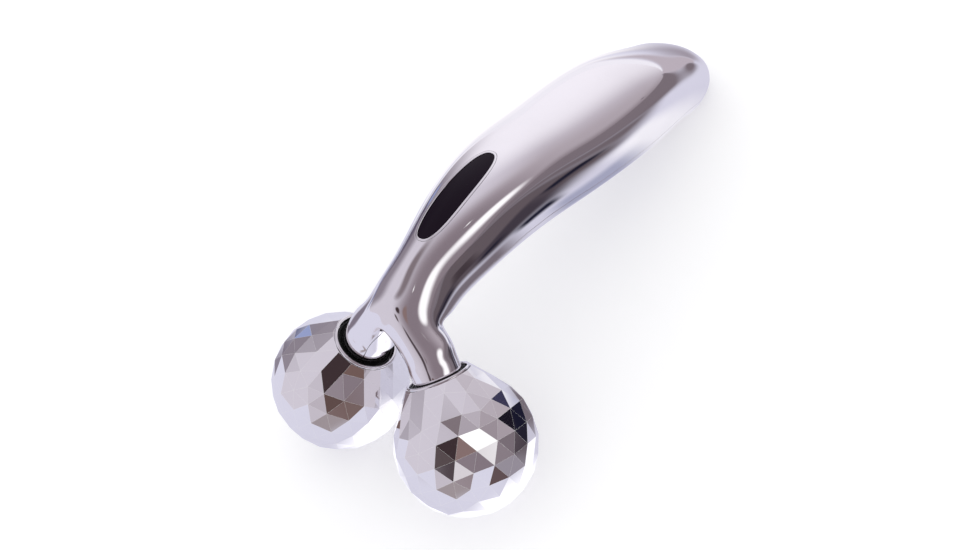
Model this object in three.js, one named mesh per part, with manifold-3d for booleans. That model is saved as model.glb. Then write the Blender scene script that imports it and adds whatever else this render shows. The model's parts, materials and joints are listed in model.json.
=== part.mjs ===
// Face and body roller massager: a Y-shaped chrome handle that carries two faceted balls, each free to spin.
// Millimetres. +Z is up, +Y runs from the balls to the tail, and X = 0 is the plane of symmetry.
// It stands on both balls and on a small flat under its tail, and the origin is on that floor.
import * as THREE from "three";
import { mergeVertices } from "three/addons/utils/BufferGeometryUtils.js";
import Module from "manifold-3d";

const wasm = await Module();
wasm.setup();

// Fits and finish of cuts
const seatGap = 0.3;
const runningGap = 0.05;
const endPlay = 0.15;
const partingGap = 0.3;
const cutOverrun = 1;
const roundSides = 20;
const mediumSides = 14;
const smallSides = 12;

// Fork: where the balls sit and how their axles lean
const ballRadius = 20;
const ballGap = 7.2;
const ballSpacing = 2 * ballRadius + ballGap;
const forkHalfAngle = THREE.MathUtils.degToRad(30.1);
const forkPitch = THREE.MathUtils.degToRad(30.25);

// Ball skin: flat facets on a sphere, whose top is drawn out along a cone to the mouth
const facetFrequency = 4;
const facetTurn = THREE.MathUtils.degToRad(19.6);
const facetLeanSide = THREE.MathUtils.degToRad(-2.3);
const facetLeanFront = THREE.MathUtils.degToRad(6);
const skinWall = 1.6;
const coneHalfAngle = THREE.MathUtils.degToRad(38);
const coneStretchShare = 1.44;

// Collar in the mouth of the ball
const collarRise = 0.7;
const mouthGap = 1.4;
const collarLip = 0.6;
const collarBackset = 0.38;
const collarFlare = 0.3;
const collarWall = 0.4;
const collarFloor = 0.6;
const collarFloorDepth = 3;
const collarFloorWidth = 2.4;

// Dust seal on the collar's floor
const sealThickness = 0.8;
const sealRimHeight = 1.5;
const sealRimWidth = 0.7;

// Ball core, its cap and the bearing sleeve
const coreWall = 1.8;
const coreDepth = 5;
const hubWall = 1.9;
const capPlane = 7.4;
const capLipWall = 1.4;
const capLipHeight = 1.6;
const sleeveWall = 1.5;
const sleeveSetback = 11.8;
const sleeveFlange = 1.1;
const sleeveFlangeWidth = 1.4;
const coreArcSteps = 5;

// Axle with its ring groove, washers, clip and cross pin
const axleRadius = 2.5;
const axleTipReach = 4.4;
const axleGrip = 15.2;
const axleChamfer = 0.5;
const grooveDepth = 0.6;
const clipThickness = 0.6;
const clipWidth = 1.9;
const clipMouthWidth = 4;
const washerThickness = 0.8;
const washerWidth = 1.7;
const crossPinRadius = 0.8;
const crossPinInset = 6.2;

// Arms of the handle
const armRadius = 7;
const armSink = 0.5;
const crotchFillet = 1.85;

// Handle body: reach of its centre line, its rise above the balls' centres, and its fullest section
const tailReach = 150.5;
const neckDrop = 5.87;
const trunkOverlap = 12.11;
const gripHalfWidth = 17.3;
const gripHalfThickness = 14;
const shellWall = 1.7;

// Parting line: towards the front at the crotch, under the widest line on the outer flanks
const crotchPartingShare = 0.857;
const flankPartingShare = 0.45;
const partingBlendShare = 0.8;
const partingColumns = 16;
const forkPathShares = [0.4, 0.6, 0.8, 1];

// Window with its bezel, lens, solar cell and tray
const lensLength = 33;
const lensWidth = 8.2;
const windowPlaceShare = 3.8;
const windowTilt = THREE.MathUtils.degToRad(4);
const bezelWidth = 0.7;
const ledgeWidth = 0.8;
const ledgeThickness = 0.6;
const lensRecess = 0.25;
const lensThickness = 1.2;
const windowPowerShare = 2.5;
const windowSides = 40;
const cellLength = 22;
const cellWidth = 5.6;
const cellThickness = 0.7;
const cellDepth = 4.5;
const trayWall = 1.2;
const trayFoot = 3;
const trayHalfWidth = 4;
const traySideShare = 5.2;

// Inner frame, yoke, weight and contact
const frameHalfWidth = 5.5;
const frameHalfDepth = 6;
const frameStartShare = 3;
const frameEndShare = 12;
const frameWall = 2;
const padLength = 7;
const frameScrewShares = [5.3, 8, 11.5];
const yokeScrewInsets = [4.25, 9.03];
const yokeNoseStep = 0.8;
const yokeNoseReach = 2.6;
const yokeLegLength = 17.7;
const hubEndShare = 2.3;
const yokeHubHalfWidth = 7;
const yokeHubHeight = 9;
const tongueHalfWidth = 4.5;
const tongueThickness = 2.6;
const tongueLength = 12;
const tongueDrop = 0.8;
const contactThickness = 0.6;
const contactWidth = 5;
const contactShares = [6.2, 6.8, 7.2];
const wireRadius = 0.55;
const wireSides = 8;
const wireSteps = 10;

// Screws and the posts that they bite in
const screwRadius = 1.1;
const screwHeadRadius = 2;
const screwHeadHeight = 1.3;
const screwLength = 7;
const screwClearance = 0.3;
const socketRadius = 0.8;
const socketDepth = 0.7;
const postRadius = 2.6;

// Colours and finishes
const chrome = { color: 0xc9c4cb, roughness: 0.06, metalness: 1 };
const steel = { color: 0x9fa2a6, roughness: 0.3, metalness: 1 };
const castMetal = { color: 0x8d9095, roughness: 0.45, metalness: 0.9 };
const brass = { color: 0xb9924a, roughness: 0.3, metalness: 1 };
const blackGloss = { color: 0x060607, roughness: 0.08, metalness: 0 };
const blackRubber = { color: 0x111213, roughness: 0.6, metalness: 0 };
const cellBlue = { color: 0x141522, roughness: 0.25, metalness: 0.2 };
const whitePlastic = { color: 0xe2e2de, roughness: 0.5, metalness: 0 };
const greyPlastic = { color: 0x7b7d80, roughness: 0.55, metalness: 0 };
const redWire = { color: 0x9a2620, roughness: 0.5, metalness: 0 };
const blackWire = { color: 0x18181a, roughness: 0.5, metalness: 0 };

const alongX = new THREE.Vector3(1, 0, 0);
const alongY = new THREE.Vector3(0, 1, 0);
const alongZ = new THREE.Vector3(0, 0, 1);
const sides = [1, -1];

// Directions of the fork: up its middle plane, square to the plane of both axles, and along each axle
const forkUp = new THREE.Vector3(0, Math.sin(forkPitch), Math.cos(forkPitch));
const forkFront = new THREE.Vector3(0, -Math.cos(forkPitch), Math.sin(forkPitch));
const axleDirection = (side) =>
  forkUp
    .clone()
    .multiplyScalar(Math.cos(forkHalfAngle))
    .add(new THREE.Vector3(-side * Math.sin(forkHalfAngle), 0, 0));
const ballCentre = (side) => new THREE.Vector3((side * ballSpacing) / 2, 0, ballRadius);
const onAxle = (side, height) => ballCentre(side).addScaledVector(axleDirection(side), height);

// Radii about an axle: the arm runs into the mouth, and the yoke's nose out of the arm
const mouthRadius = armRadius + mouthGap;
const collarRadius = mouthRadius + collarLip;
const legRadius = armRadius - shellWall - seatGap;
const yokeNoseRadius = legRadius - yokeNoseStep;

// Heights along an axle from its ball's centre: the mouth stands where the cone has come down to the collar
const tangentTurn = Math.PI / 2 - coneHalfAngle;
const coneFootRadius = ballRadius * Math.sin(tangentTurn);
const coneFootHeight = ballRadius * Math.cos(tangentTurn);
const coneTopRadius = collarRadius + collarFlare + collarBackset;
const mouthPlane = coneFootHeight + (coneFootRadius - coneTopRadius) / Math.tan(coneHalfAngle);
const collarTop = mouthPlane + collarRise;
const collarBase = collarTop - collarFloorDepth;
const coreTop = mouthPlane - coreDepth;
const armEnd = collarTop - armSink;
const yokeNoseEnd = armEnd - yokeNoseReach;
const yokeLegEnd = armEnd + yokeLegLength;
const crossPinAt = armEnd + crossPinInset;
const axleRoot = armEnd + axleGrip;
const sleeveDepth = ballRadius - sleeveSetback;
const axleTip = sleeveDepth + axleTipReach;

// The crotch lies a fillet above the point where the arms' inner sides meet, and the trunk starts near it
const apexUp = ballSpacing / 2 / Math.tan(forkHalfAngle);
const crotchUp = apexUp - armRadius / Math.sin(forkHalfAngle) + crotchFillet;
const upFork = (up) => new THREE.Vector3(0, 0, ballRadius).addScaledVector(forkUp, up);
const trunkStart = upFork(apexUp - trunkOverlap).y;
const neckHeight = upFork(apexUp).z - neckDrop;

// A closed geometry as a solid, and a solid as a geometry
function solidOf(geometry) {
  const bare = geometry.clone();
  bare.deleteAttribute("normal");
  bare.deleteAttribute("uv");
  const merged = mergeVertices(bare, 1e-4);
  return new wasm.Manifold(
    new wasm.Mesh({
      numProp: 3,
      vertProperties: merged.attributes.position.array,
      triVerts: new Uint32Array(merged.index.array),
    }),
  );
}

function geometryOf(solid) {
  const mesh = solid.getMesh();
  const geometry = new THREE.BufferGeometry();
  geometry.setAttribute("position", new THREE.BufferAttribute(mesh.vertProperties, 3));
  geometry.setIndex(new THREE.BufferAttribute(mesh.triVerts, 1));
  geometry.computeVertexNormals();
  return geometry;
}

const joined = (...solids) => solids.reduce((whole, next) => whole.add(next));
const cut = (solid, ...cutters) => cutters.reduce((rest, cutter) => rest.subtract(cutter), solid);

function meshOf(name, geometry, finish) {
  const mesh = new THREE.Mesh(geometry, new THREE.MeshStandardMaterial(finish));
  mesh.name = name;
  return mesh;
}

// A body turned about Z, from a closed outline of [radius, height] pairs
function turned(outline, sides = roundSides) {
  const points = outline.map(([radius, height]) => new THREE.Vector2(radius, height));
  const closed = outline[0][0] === 0 ? points : [...points, points[0].clone()];
  return new THREE.LatheGeometry(closed, sides).rotateX(Math.PI / 2);
}

function turnedSolid(outline, sides) {
  const solid = solidOf(turned(outline, sides));
  return solid.volume() < 0 ? solidOf(turned([...outline].reverse(), sides)) : solid;
}

const rod = (radius, low, high, sides = roundSides) =>
  turnedSolid([[0, low], [radius, low], [radius, high], [0, high]], sides);
const ring = (inner, outer, low, high, sides = roundSides) =>
  turnedSolid([[inner, low], [outer, low], [outer, high], [inner, high]], sides);

function block(width, depth, height, centre) {
  return solidOf(new THREE.BoxGeometry(width, depth, height).translate(centre.x, centre.y, centre.z));
}

// A placement whose Z runs along a direction, with X as near as can be to a wanted one
function frameAlong(origin, direction, wantedX) {
  const z = direction.clone().normalize();
  const x = wantedX.clone().addScaledVector(z, -wantedX.dot(z)).normalize();
  const y = new THREE.Vector3().crossVectors(z, x);
  return new THREE.Matrix4().makeBasis(x, y, z).setPosition(origin);
}

const placed = (solid, matrix) => solidOf(geometryOf(solid).applyMatrix4(matrix));
const axleFrame = (side) => frameAlong(ballCentre(side), axleDirection(side), forkFront);

// Handle surface: a net of four-sided faces, fitted so that its smooth limit passes through chosen points.
// Each station of the trunk is a section: its place from the crotch to the tail, its height and its half
// width and half thickness, as shares of the reach, the neck's height and the grip's fullest section, its
// lean back from upright in radians, and how much narrower its top is than its middle.
// The first rides over the fork, the last is close to the tail.
const sectionSides = 12;
const armSides = 10;
const trunkShares = [
  { y: 0.0161, z: 0.9645, wide: 0.68, thick: 0.617, lean: -0.709, crown: 0.2 },
  { y: 0.0539, z: 0.9757, wide: 0.61, thick: 0.76, lean: -0.405, crown: 0.25 },
  { y: 0.1075, z: 0.988, wide: 0.588, thick: 0.8416, lean: -0.206, crown: 0.28 },
  { y: 0.1816, z: 1, wide: 0.678, thick: 0.894, lean: 0.015, crown: 0.22 },
  { y: 0.263, z: 0.982, wide: 0.768, thick: 0.951, lean: 0.149, crown: 0.08 },
  { y: 0.3453, z: 0.937, wide: 0.842, thick: 0.979, lean: 0.25 },
  { y: 0.4238, z: 0.866, wide: 0.898, thick: 0.993, lean: 0.34 },
  { y: 0.5001, z: 0.777, wide: 0.944, thick: 0.99, lean: 0.385 },
  { y: 0.5768, z: 0.69, wide: 0.983, thick: 0.993, lean: 0.39 },
  { y: 0.6532, z: 0.604, wide: 1, thick: 1, lean: 0.395 },
  { y: 0.7303, z: 0.512, wide: 0.983, thick: 0.986, lean: 0.43 },
  { y: 0.8032, z: 0.412, wide: 0.915, thick: 0.915, lean: 0.487 },
  { y: 0.875, z: 0.296, wide: 0.814, thick: 0.817, lean: 0.521 },
  { y: 0.9419, z: 0.178, wide: 0.71, thick: 0.69, lean: 0.539 },
];
const tailCapShare = { y: 0.9884, z: 0.092, wide: 0.42, thick: 0.36, lean: 0.539 };
const sectionPowerShare = 2.5;
// Crotch between the arms: its three points as shares of the arm's radius
const crotchShares = [
  { front: -0.79, up: 0.13 },
  { front: 0, up: 0 },
  { front: 0.98, up: 0.16 },
];
// Rings of each arm, as shares of the way from its end up to the crotch
const armRingShares = [0.67, 0.33, 0, -0.33, -0.66];
const fitRounds = 14;

const trunkReach = (share) => THREE.MathUtils.lerp(trunkStart, tailReach, share);

function sectionPoint(share, angle) {
  const across = Math.cos(angle);
  const through = Math.sin(angle);
  const swell = (value) => Math.sign(value) * Math.abs(value) ** (2 / sectionPowerShare);
  const offset = swell(through) * gripHalfThickness * share.thick;
  const onMiddle = Math.abs(across) < Number.EPSILON * sectionSides;
  const narrowing = 1 - (share.crown ?? 0) * Math.max(through, 0);
  return new THREE.Vector3(
    onMiddle ? 0 : swell(across) * gripHalfWidth * share.wide * narrowing,
    trunkReach(share.y) + offset * Math.sin(share.lean),
    neckHeight * share.z + offset * Math.cos(share.lean),
  );
}

const turnOf = (index, count) => (index * 2 * Math.PI) / count;
const wrap = (index, count) => (index + count) % count;

function trunkNet(points, faces) {
  const rings = trunkShares.map((share) =>
    Array.from({ length: sectionSides }, (_, k) => {
      const point = sectionPoint(share, turnOf(k, sectionSides));
      return points.push(point) - 1;
    }),
  );
  for (let i = 0; i + 1 < rings.length; i++)
    for (let k = 0; k < sectionSides; k++) {
      const next = wrap(k + 1, sectionSides);
      faces.push([rings[i][k], rings[i][next], rings[i + 1][next], rings[i + 1][k]]);
    }
  return rings;
}

// The tail is closed by nine faces round four inner points, one towards each quarter of the last ring
function tailNet(points, faces, ring) {
  const quarter = sectionSides / 4;
  const inner = Array.from({ length: 4 }, (_, i) => {
    const point = sectionPoint(tailCapShare, turnOf(i, 4));
    return points.push(point) - 1;
  });
  inner.forEach((centre, i) => {
    const corner = i * quarter;
    const at = (step) => ring[wrap(corner + step, sectionSides)];
    faces.push([at(-1), at(0), at(1), centre]);
    faces.push([at(1), at(2), inner[wrap(i + 1, 4)], centre]);
  });
  faces.push(inner);
}

function armNet(points, faces, side, seam, firstRing) {
  const out = forkUp
    .clone()
    .multiplyScalar(Math.sin(forkHalfAngle))
    .add(new THREE.Vector3(side * Math.cos(forkHalfAngle), 0, 0));
  const crotchAlong = crotchUp / Math.cos(forkHalfAngle);
  const firstTurn = (sectionSides / 4) * turnOf(1, armSides);
  let above = [...firstRing, ...seam];
  for (const share of armRingShares) {
    const centre = onAxle(side, THREE.MathUtils.lerp(armEnd, crotchAlong, share));
    const below = above.map((_, j) => {
      const angle = side * (firstTurn - turnOf(j, armSides));
      const point = centre
        .clone()
        .addScaledVector(out, armRadius * Math.cos(angle))
        .addScaledVector(forkFront, armRadius * Math.sin(angle));
      return points.push(point) - 1;
    });
    above.forEach((_, j) => {
      const next = wrap(j + 1, armSides);
      faces.push([above[j], above[next], below[next], below[j]]);
    });
    above = below;
  }
  for (let j = 0; j + 1 < armSides / 2; j++)
    faces.push([above[j], above[j + 1], above[armSides - 2 - j], above[armSides - 1 - j]]);
}

function handleNet() {
  const points = [];
  const faces = [];
  const rings = trunkNet(points, faces);
  tailNet(points, faces, rings[rings.length - 1]);
  const seam = crotchShares.map(({ front, up }) => {
    const point = upFork(crotchUp).addScaledVector(forkFront, armRadius * front);
    return points.push(point.addScaledVector(forkUp, armRadius * up)) - 1;
  });
  const top = sectionSides / 4;
  const half = Array.from({ length: sectionSides / 2 + 1 }, (_, j) => j);
  const right = half.map((j) => rings[0][wrap(top - j, sectionSides)]);
  const left = half.map((j) => rings[0][wrap(-top - j, sectionSides)]);
  armNet(points, faces, 1, seam, right);
  armNet(points, faces, -1, [...seam].reverse(), left);
  return { points, faces };
}

// What surrounds each point of a net: the points along its edges, and those across its faces
function surroundings(net) {
  const around = net.points.map(() => ({ edges: new Set(), across: [] }));
  for (const face of net.faces)
    face.forEach((point, i) => {
      around[point].edges.add(face[(i + 1) % 4]);
      around[point].edges.add(face[(i + 3) % 4]);
      around[point].across.push(face[(i + 2) % 4]);
    });
  return around;
}

const sumOf = (points, indices) =>
  [...indices].reduce((sum, index) => sum.add(points[index]), new THREE.Vector3());

// Where each point of a net ends up when the net is divided without end
function limitPoints(net) {
  return surroundings(net).map(({ edges, across }, index) => {
    const count = across.length;
    return net.points[index]
      .clone()
      .multiplyScalar(count * count)
      .addScaledVector(sumOf(net.points, edges), 4)
      .add(sumOf(net.points, across))
      .divideScalar(count * (count + 5));
  });
}

// Moves the points of a net until its limit surface passes through where they stood
function fittedNet(net) {
  const wanted = net.points.map((point) => point.clone());
  for (let round = 0; round < fitRounds; round++)
    limitPoints(net).forEach((limit, i) => net.points[i].add(wanted[i]).sub(limit));
  return net;
}

// One division of every face in four, as smooth subdivision surfaces do
function dividedNet(net) {
  const points = [];
  const faces = [];
  const faceCentres = net.faces.map((face) => sumOf(net.points, face).divideScalar(face.length));
  const sides = new Map();
  net.faces.forEach((face, f) =>
    face.forEach((a, i) => {
      const b = face[(i + 1) % 4];
      const key = a < b ? `${a} ${b}` : `${b} ${a}`;
      if (!sides.has(key)) sides.set(key, { ends: [a, b], faces: [] });
      sides.get(key).faces.push(f);
    }),
  );
  const around = surroundings(net);
  const centresAt = net.points.map(() => []);
  net.faces.forEach((face, f) => face.forEach((point) => centresAt[point].push(f)));
  net.points.forEach((point, i) => {
    const count = around[i].across.length;
    const middle = sumOf(faceCentres, centresAt[i]).divideScalar(count);
    const edges = sumOf(net.points, around[i].edges).divideScalar(count).add(point);
    points.push(middle.add(edges).addScaledVector(point, count - 3).divideScalar(count));
  });
  const centreIndex = faceCentres.map((centre) => points.push(centre) - 1);
  for (const side of sides.values()) {
    const sum = sumOf(net.points, side.ends).add(sumOf(faceCentres, side.faces));
    side.index = points.push(sum.divideScalar(4)) - 1;
  }
  const between = (a, b) => sides.get(a < b ? `${a} ${b}` : `${b} ${a}`).index;
  net.faces.forEach((face, f) =>
    face.forEach((point, i) => {
      const after = face[(i + 1) % 4];
      const before = face[(i + 3) % 4];
      faces.push([point, between(point, after), centreIndex[f], between(before, point)]);
    }),
  );
  return { points, faces };
}

// A net's faces run clockwise seen from outside, and each becomes two triangles that run the other way
function netGeometry(points, faces) {
  const places = new Float32Array(points.flatMap((point) => point.toArray()));
  const geometry = new THREE.BufferGeometry();
  geometry.setAttribute("position", new THREE.BufferAttribute(places, 3));
  geometry.setIndex(faces.flatMap(([a, b, c, d]) => [a, c, b, a, d, c]));
  geometry.computeVertexNormals();
  return geometry;
}

// A net's limit as one solid, its skin drawn in by a depth
function drawnIn(net, depth) {
  const points = limitPoints(net);
  const normals = netGeometry(points, net.faces).attributes.normal;
  points.forEach((point, i) => {
    const normal = new THREE.Vector3().fromBufferAttribute(normals, i);
    point.addScaledVector(normal, -depth);
  });
  return solidOf(netGeometry(points, net.faces));
}

// The handle as a solid: its outer faces are finely divided, and its inner ones, a little deeper, are not
const innerNet = fittedNet(handleNet());
const outerNet = dividedNet(innerNet);
const handleBody = (depth) => drawnIn(outerNet, depth);
const innerBody = (depth) => drawnIn(innerNet, depth);

// The usual step between stations, along the grip
const gripFrom = 4;
const gripTo = 9;
const gripReach = trunkReach(trunkShares[gripTo].y) - trunkReach(trunkShares[gripFrom].y);
const stationStep = gripReach / (gripTo - gripFrom);

// The trunk's centre line at a station, whole or between two, with its upward normal and half thickness
function trunkAt(station) {
  const low = Math.min(Math.floor(station), trunkShares.length - 2);
  const mix = (key) => THREE.MathUtils.lerp(trunkShares[low][key], trunkShares[low + 1][key], station - low);
  return {
    centre: new THREE.Vector3(0, trunkReach(mix("y")), neckHeight * mix("z")),
    up: new THREE.Vector3(0, Math.sin(mix("lean")), Math.cos(mix("lean"))),
    thick: gripHalfThickness * mix("thick"),
  };
}

function offTrunk(station, rise, across = 0) {
  const { centre, up } = trunkAt(station);
  return centre.addScaledVector(up, rise).setX(across);
}

// A slab across X, from the outline of its side
function slab(outline, halfWidth) {
  const shape = new THREE.Shape(outline.map(({ y, z }) => new THREE.Vector2(y, z)));
  const geometry = new THREE.ExtrudeGeometry(shape, { depth: 2 * halfWidth, bevelEnabled: false });
  geometry.translate(0, 0, -halfWidth);
  return solidOf(geometry.applyMatrix4(new THREE.Matrix4().makeBasis(alongY, alongZ, alongX)));
}

// The side outline of a ribbon along the trunk, between two stations and two rises off its centre line
function ribbon(from, to, low, high) {
  const first = Math.floor(from) + 1;
  const between = Array.from({ length: Math.ceil(to) - first }, (_, i) => first + i);
  const stations = [from, ...between, to];
  const under = stations.map((station) => offTrunk(station, low));
  const over = stations.map((station) => offTrunk(station, high)).reverse();
  return [...under, ...over];
}

// Everything on the under and back side of the parting surface, which is shifted off its middle
function underParting(shift) {
  const reach = ballSpacing;
  const forkLean = Math.atan2(forkFront.y, forkFront.z);
  const path = forkPathShares.map((share) => {
    const up = crotchUp * share;
    return { up, centre: upFork(up), lean: forkLean };
  });
  trunkShares.forEach((share, i) => {
    const { centre, thick } = trunkAt(i);
    const up = crotchUp + i * stationStep;
    path.push({ up, centre, lean: share.lean, thick: Math.max(armRadius, thick) });
  });
  const last = path[path.length - 1];
  const beyond = new THREE.Vector3(0, Math.cos(last.lean), -Math.sin(last.lean));
  path.push({ ...last, centre: last.centre.clone().addScaledVector(beyond, gripHalfWidth) });
  const columns = Array.from({ length: partingColumns + 1 }, (_, i) => {
    const across = THREE.MathUtils.lerp(-reach, reach, i / partingColumns) / 2;
    const line = path.map(({ up, centre, lean, thick = armRadius }) => {
      const armAt = Math.max(0, ballSpacing / 2 - up * Math.tan(forkHalfAngle));
      const outward = (Math.abs(across) - armAt) / armRadius;
      const blend = THREE.MathUtils.smoothstep(outward, -partingBlendShare, partingBlendShare);
      const inward = armRadius * crotchPartingShare;
      const rise = THREE.MathUtils.lerp(inward, -flankPartingShare * thick, blend) + shift;
      const upward = new THREE.Vector3(0, Math.sin(lean), Math.cos(lean));
      return centre.clone().addScaledVector(upward, rise).setX(across);
    });
    const start = line[0];
    const end = line[line.length - 1];
    const below = [end, start].map(({ y }) => new THREE.Vector3(across, y, -reach));
    return [...line, ...below];
  });
  return lofted(columns);
}

// A solid through like outlines that stand side by side across X
function lofted(outlines) {
  const clockwise = THREE.ShapeUtils.isClockWise(outlines[0].map(({ y, z }) => new THREE.Vector2(y, z)));
  const columns = clockwise ? outlines.map((outline) => [...outline].reverse()) : outlines;
  const count = columns[0].length;
  const lastColumn = (columns.length - 1) * count;
  const indices = [];
  for (const column of [0, lastColumn]) {
    const flat = columns[column / count].map(({ y, z }) => new THREE.Vector2(y, z));
    const cap = THREE.ShapeUtils.triangulateShape(flat, []);
    const areas = cap.map((corners) => THREE.ShapeUtils.area(corners.map((corner) => flat[corner])));
    const covered = areas.reduce((sum, area) => sum + area, 0);
    const forward = covered > 0 === column > 0;
    for (const [a, b, c] of cap) {
      const ordered = forward ? [a, b, c] : [a, c, b];
      indices.push(...ordered.map((corner) => column + corner));
    }
  }
  for (let i = 0; i < lastColumn; i += count)
    for (let j = 0; j < count; j++) {
      const next = wrap(j + 1, count);
      indices.push(i + j, i + next, i + count + next, i + j, i + count + next, i + count + j);
    }
  const geometry = new THREE.BufferGeometry();
  const places = new Float32Array(columns.flat().flatMap((point) => point.toArray()));
  geometry.setAttribute("position", new THREE.BufferAttribute(places, 3));
  geometry.setIndex(indices);
  return solidOf(geometry);
}

// What lies past the flat ends of both arms
function pastArmEnds() {
  const depth = armEnd / 2;
  const width = 2 * (armRadius + cutOverrun);
  const middle = new THREE.Vector3(0, 0, armEnd - depth / 2);
  return joined(...sides.map((side) => placed(block(width, width, depth, middle), axleFrame(side))));
}

// What lies under the floor, which takes a small flat off the tail
function underFloor() {
  const middle = new THREE.Vector3(0, tailReach, -gripHalfThickness / 2);
  return block(2 * gripHalfWidth, tailReach, gripHalfThickness, middle);
}

// Window: an upright oval that stands in the shell's face, in a frame on the shell's surface
function windowFrame() {
  const { thick } = trunkAt(windowPlaceShare);
  const turn = new THREE.Matrix4().makeRotationX(-windowTilt);
  return turn.setPosition(offTrunk(windowPlaceShare, thick));
}

function windowOval(grow) {
  const length = lensLength / 2 + grow;
  const width = lensWidth / 2 + grow;
  const swell = (value) => Math.sign(value) * Math.abs(value) ** (2 / windowPowerShare);
  const points = Array.from({ length: windowSides }, (_, i) => {
    const angle = turnOf(i, windowSides);
    return new THREE.Vector2(width * swell(Math.cos(angle)), length * swell(Math.sin(angle)));
  });
  const geometry = new THREE.ExtrudeGeometry(new THREE.Shape(points), {
    depth: gripHalfThickness,
    bevelEnabled: false,
  });
  geometry.translate(0, 0, -gripHalfThickness / 2);
  return solidOf(geometry.applyMatrix4(windowFrame()));
}

const skinBetween = (outer, inner) => cut(handleBody(outer), handleBody(inner));

function windowLens() {
  return skinBetween(lensRecess, lensRecess + lensThickness).intersect(windowOval(-seatGap / 2));
}

function windowBezel() {
  const ledgeTop = lensRecess + lensThickness + seatGap;
  const wall = skinBetween(0, ledgeTop + ledgeThickness).intersect(windowOval(bezelWidth));
  const recess = windowOval(seatGap / 2).subtract(handleBody(ledgeTop));
  return cut(wall, recess, windowOval(-ledgeWidth));
}

// Solar cell and its tray, seen from the side in the window's frame as [along, height] pairs
const inWindow = (pairs) =>
  pairs.map(([along, height]) => new THREE.Vector3(0, along, height).applyMatrix4(windowFrame()));

function solarCell() {
  const half = cellLength / 2;
  const under = -cellDepth - cellThickness;
  const outline = [[-half, under], [half, under], [half, -cellDepth], [-half, -cellDepth]];
  return slab(inWindow(outline), cellWidth / 2);
}

function cellTray() {
  const stopInner = cellLength / 2 + seatGap;
  const end = stopInner + trayWall;
  const top = -cellDepth - cellThickness - seatGap;
  const stopTop = -cellDepth - cellThickness / 3;
  const foot = -gripHalfThickness;
  const half = [
    [stopInner, top], [stopInner, stopTop], [end, stopTop],
    [end, foot], [end - trayFoot, foot], [end - trayFoot, top - trayWall],
  ];
  const mirrored = half.map(([along, height]) => [-along, height]).reverse();
  const whole = slab(inWindow([...half, ...mirrored]), trayHalfWidth);
  const seat = ribbon(frameStartShare - 1, frameEndShare, -gripHalfThickness, frameHalfDepth + seatGap);
  return cut(whole, slab(seat, gripHalfWidth));
}

// Inner frame: a ribbon with solid pads for the screws and pockets between them
const padSpread = () => padLength / 2 / stationStep;
const yokeScrewStations = yokeScrewInsets.map((inset) => frameStartShare + inset / stationStep);

function frameHole(station, direction, from, to, radius) {
  const { up } = trunkAt(station);
  const along = up.clone().multiplyScalar(direction);
  return placed(rod(radius, from, to, smallSides), frameAlong(offTrunk(station, 0), along, alongX));
}

function coreFrame() {
  const pocketHeight = frameHalfDepth - frameWall;
  const reach = frameHalfWidth + cutOverrun;
  const side = ribbon(frameStartShare, frameEndShare, -frameHalfDepth, frameHalfDepth);
  const pockets = frameScrewShares.slice(1).map((station, i) => {
    const from = frameScrewShares[i] + padSpread();
    return slab(ribbon(from, station - padSpread(), -pocketHeight, pocketHeight), reach);
  });
  const ledgeEnd = tongueEndStation() + seatGap / stationStep;
  const ledge = ribbon(frameStartShare - 1, ledgeEnd, -gripHalfThickness, seatGap - tongueDrop);
  const bore = screwRadius + screwClearance;
  const past = frameHalfDepth + cutOverrun;
  const holes = frameScrewShares.flatMap((station) => [
    frameHole(station, 1, -past, past, bore),
    frameHole(station, 1, frameWall - frameHalfDepth, past, screwHeadRadius + screwClearance),
  ]);
  const pilots = yokeScrewStations.map((station) =>
    frameHole(station, -1, tongueDrop + tongueThickness - screwLength, frameHalfDepth, bore),
  );
  const whole = slab(side, frameHalfWidth);
  return cut(whole, ...pockets, slab(ledge, reach), ...holes, ...pilots);
}

function balanceWeight() {
  const height = frameHalfDepth - frameWall - seatGap;
  const spread = padSpread() + seatGap / stationStep;
  const [, from, to] = frameScrewShares;
  return slab(ribbon(from + spread, to - spread, -height, height), frameHalfWidth);
}

// Yoke: two legs on the axles, a hub where they meet, and a tongue under the front of the frame
const tongueEndStation = () => frameStartShare + tongueLength / stationStep;

function axleYoke() {
  const tongue = ribbon(hubEndShare - 1, tongueEndStation(), -tongueDrop - tongueThickness, -tongueDrop);
  const hub = ribbon(0, hubEndShare, -yokeHubHeight / 2, yokeHubHeight / 2);
  const legs = sides.map((side) => placed(rod(legRadius, armEnd - seatGap, yokeLegEnd), axleFrame(side)));
  const inside = joined(slab(tongue, tongueHalfWidth), slab(hub, yokeHubHalfWidth), ...legs)
    .intersect(innerBody(shellWall + seatGap));
  const noses = sides.map((side) =>
    placed(rod(yokeNoseRadius, yokeNoseEnd, armEnd + cutOverrun), axleFrame(side)),
  );
  const bores = sides.map((side) =>
    placed(rod(axleRadius + seatGap, yokeNoseEnd - cutOverrun, axleRoot + seatGap), axleFrame(side)),
  );
  const pinHoles = sides.map((side) =>
    placed(crossRod(crossPinRadius + seatGap, armRadius), axleFrame(side)),
  );
  const screwHoles = yokeScrewStations.map((station) =>
    frameHole(station, -1, 0, frameHalfDepth, screwRadius + screwClearance),
  );
  return cut(joined(inside, ...noses), ...bores, ...pinHoles, ...screwHoles);
}

// A rod across an axle, in the axle's own frame
function crossRod(radius, halfLength) {
  const across = frameAlong(new THREE.Vector3(0, 0, crossPinAt), alongX, alongY);
  return placed(rod(radius, -halfLength, halfLength, smallSides), across);
}

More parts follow.
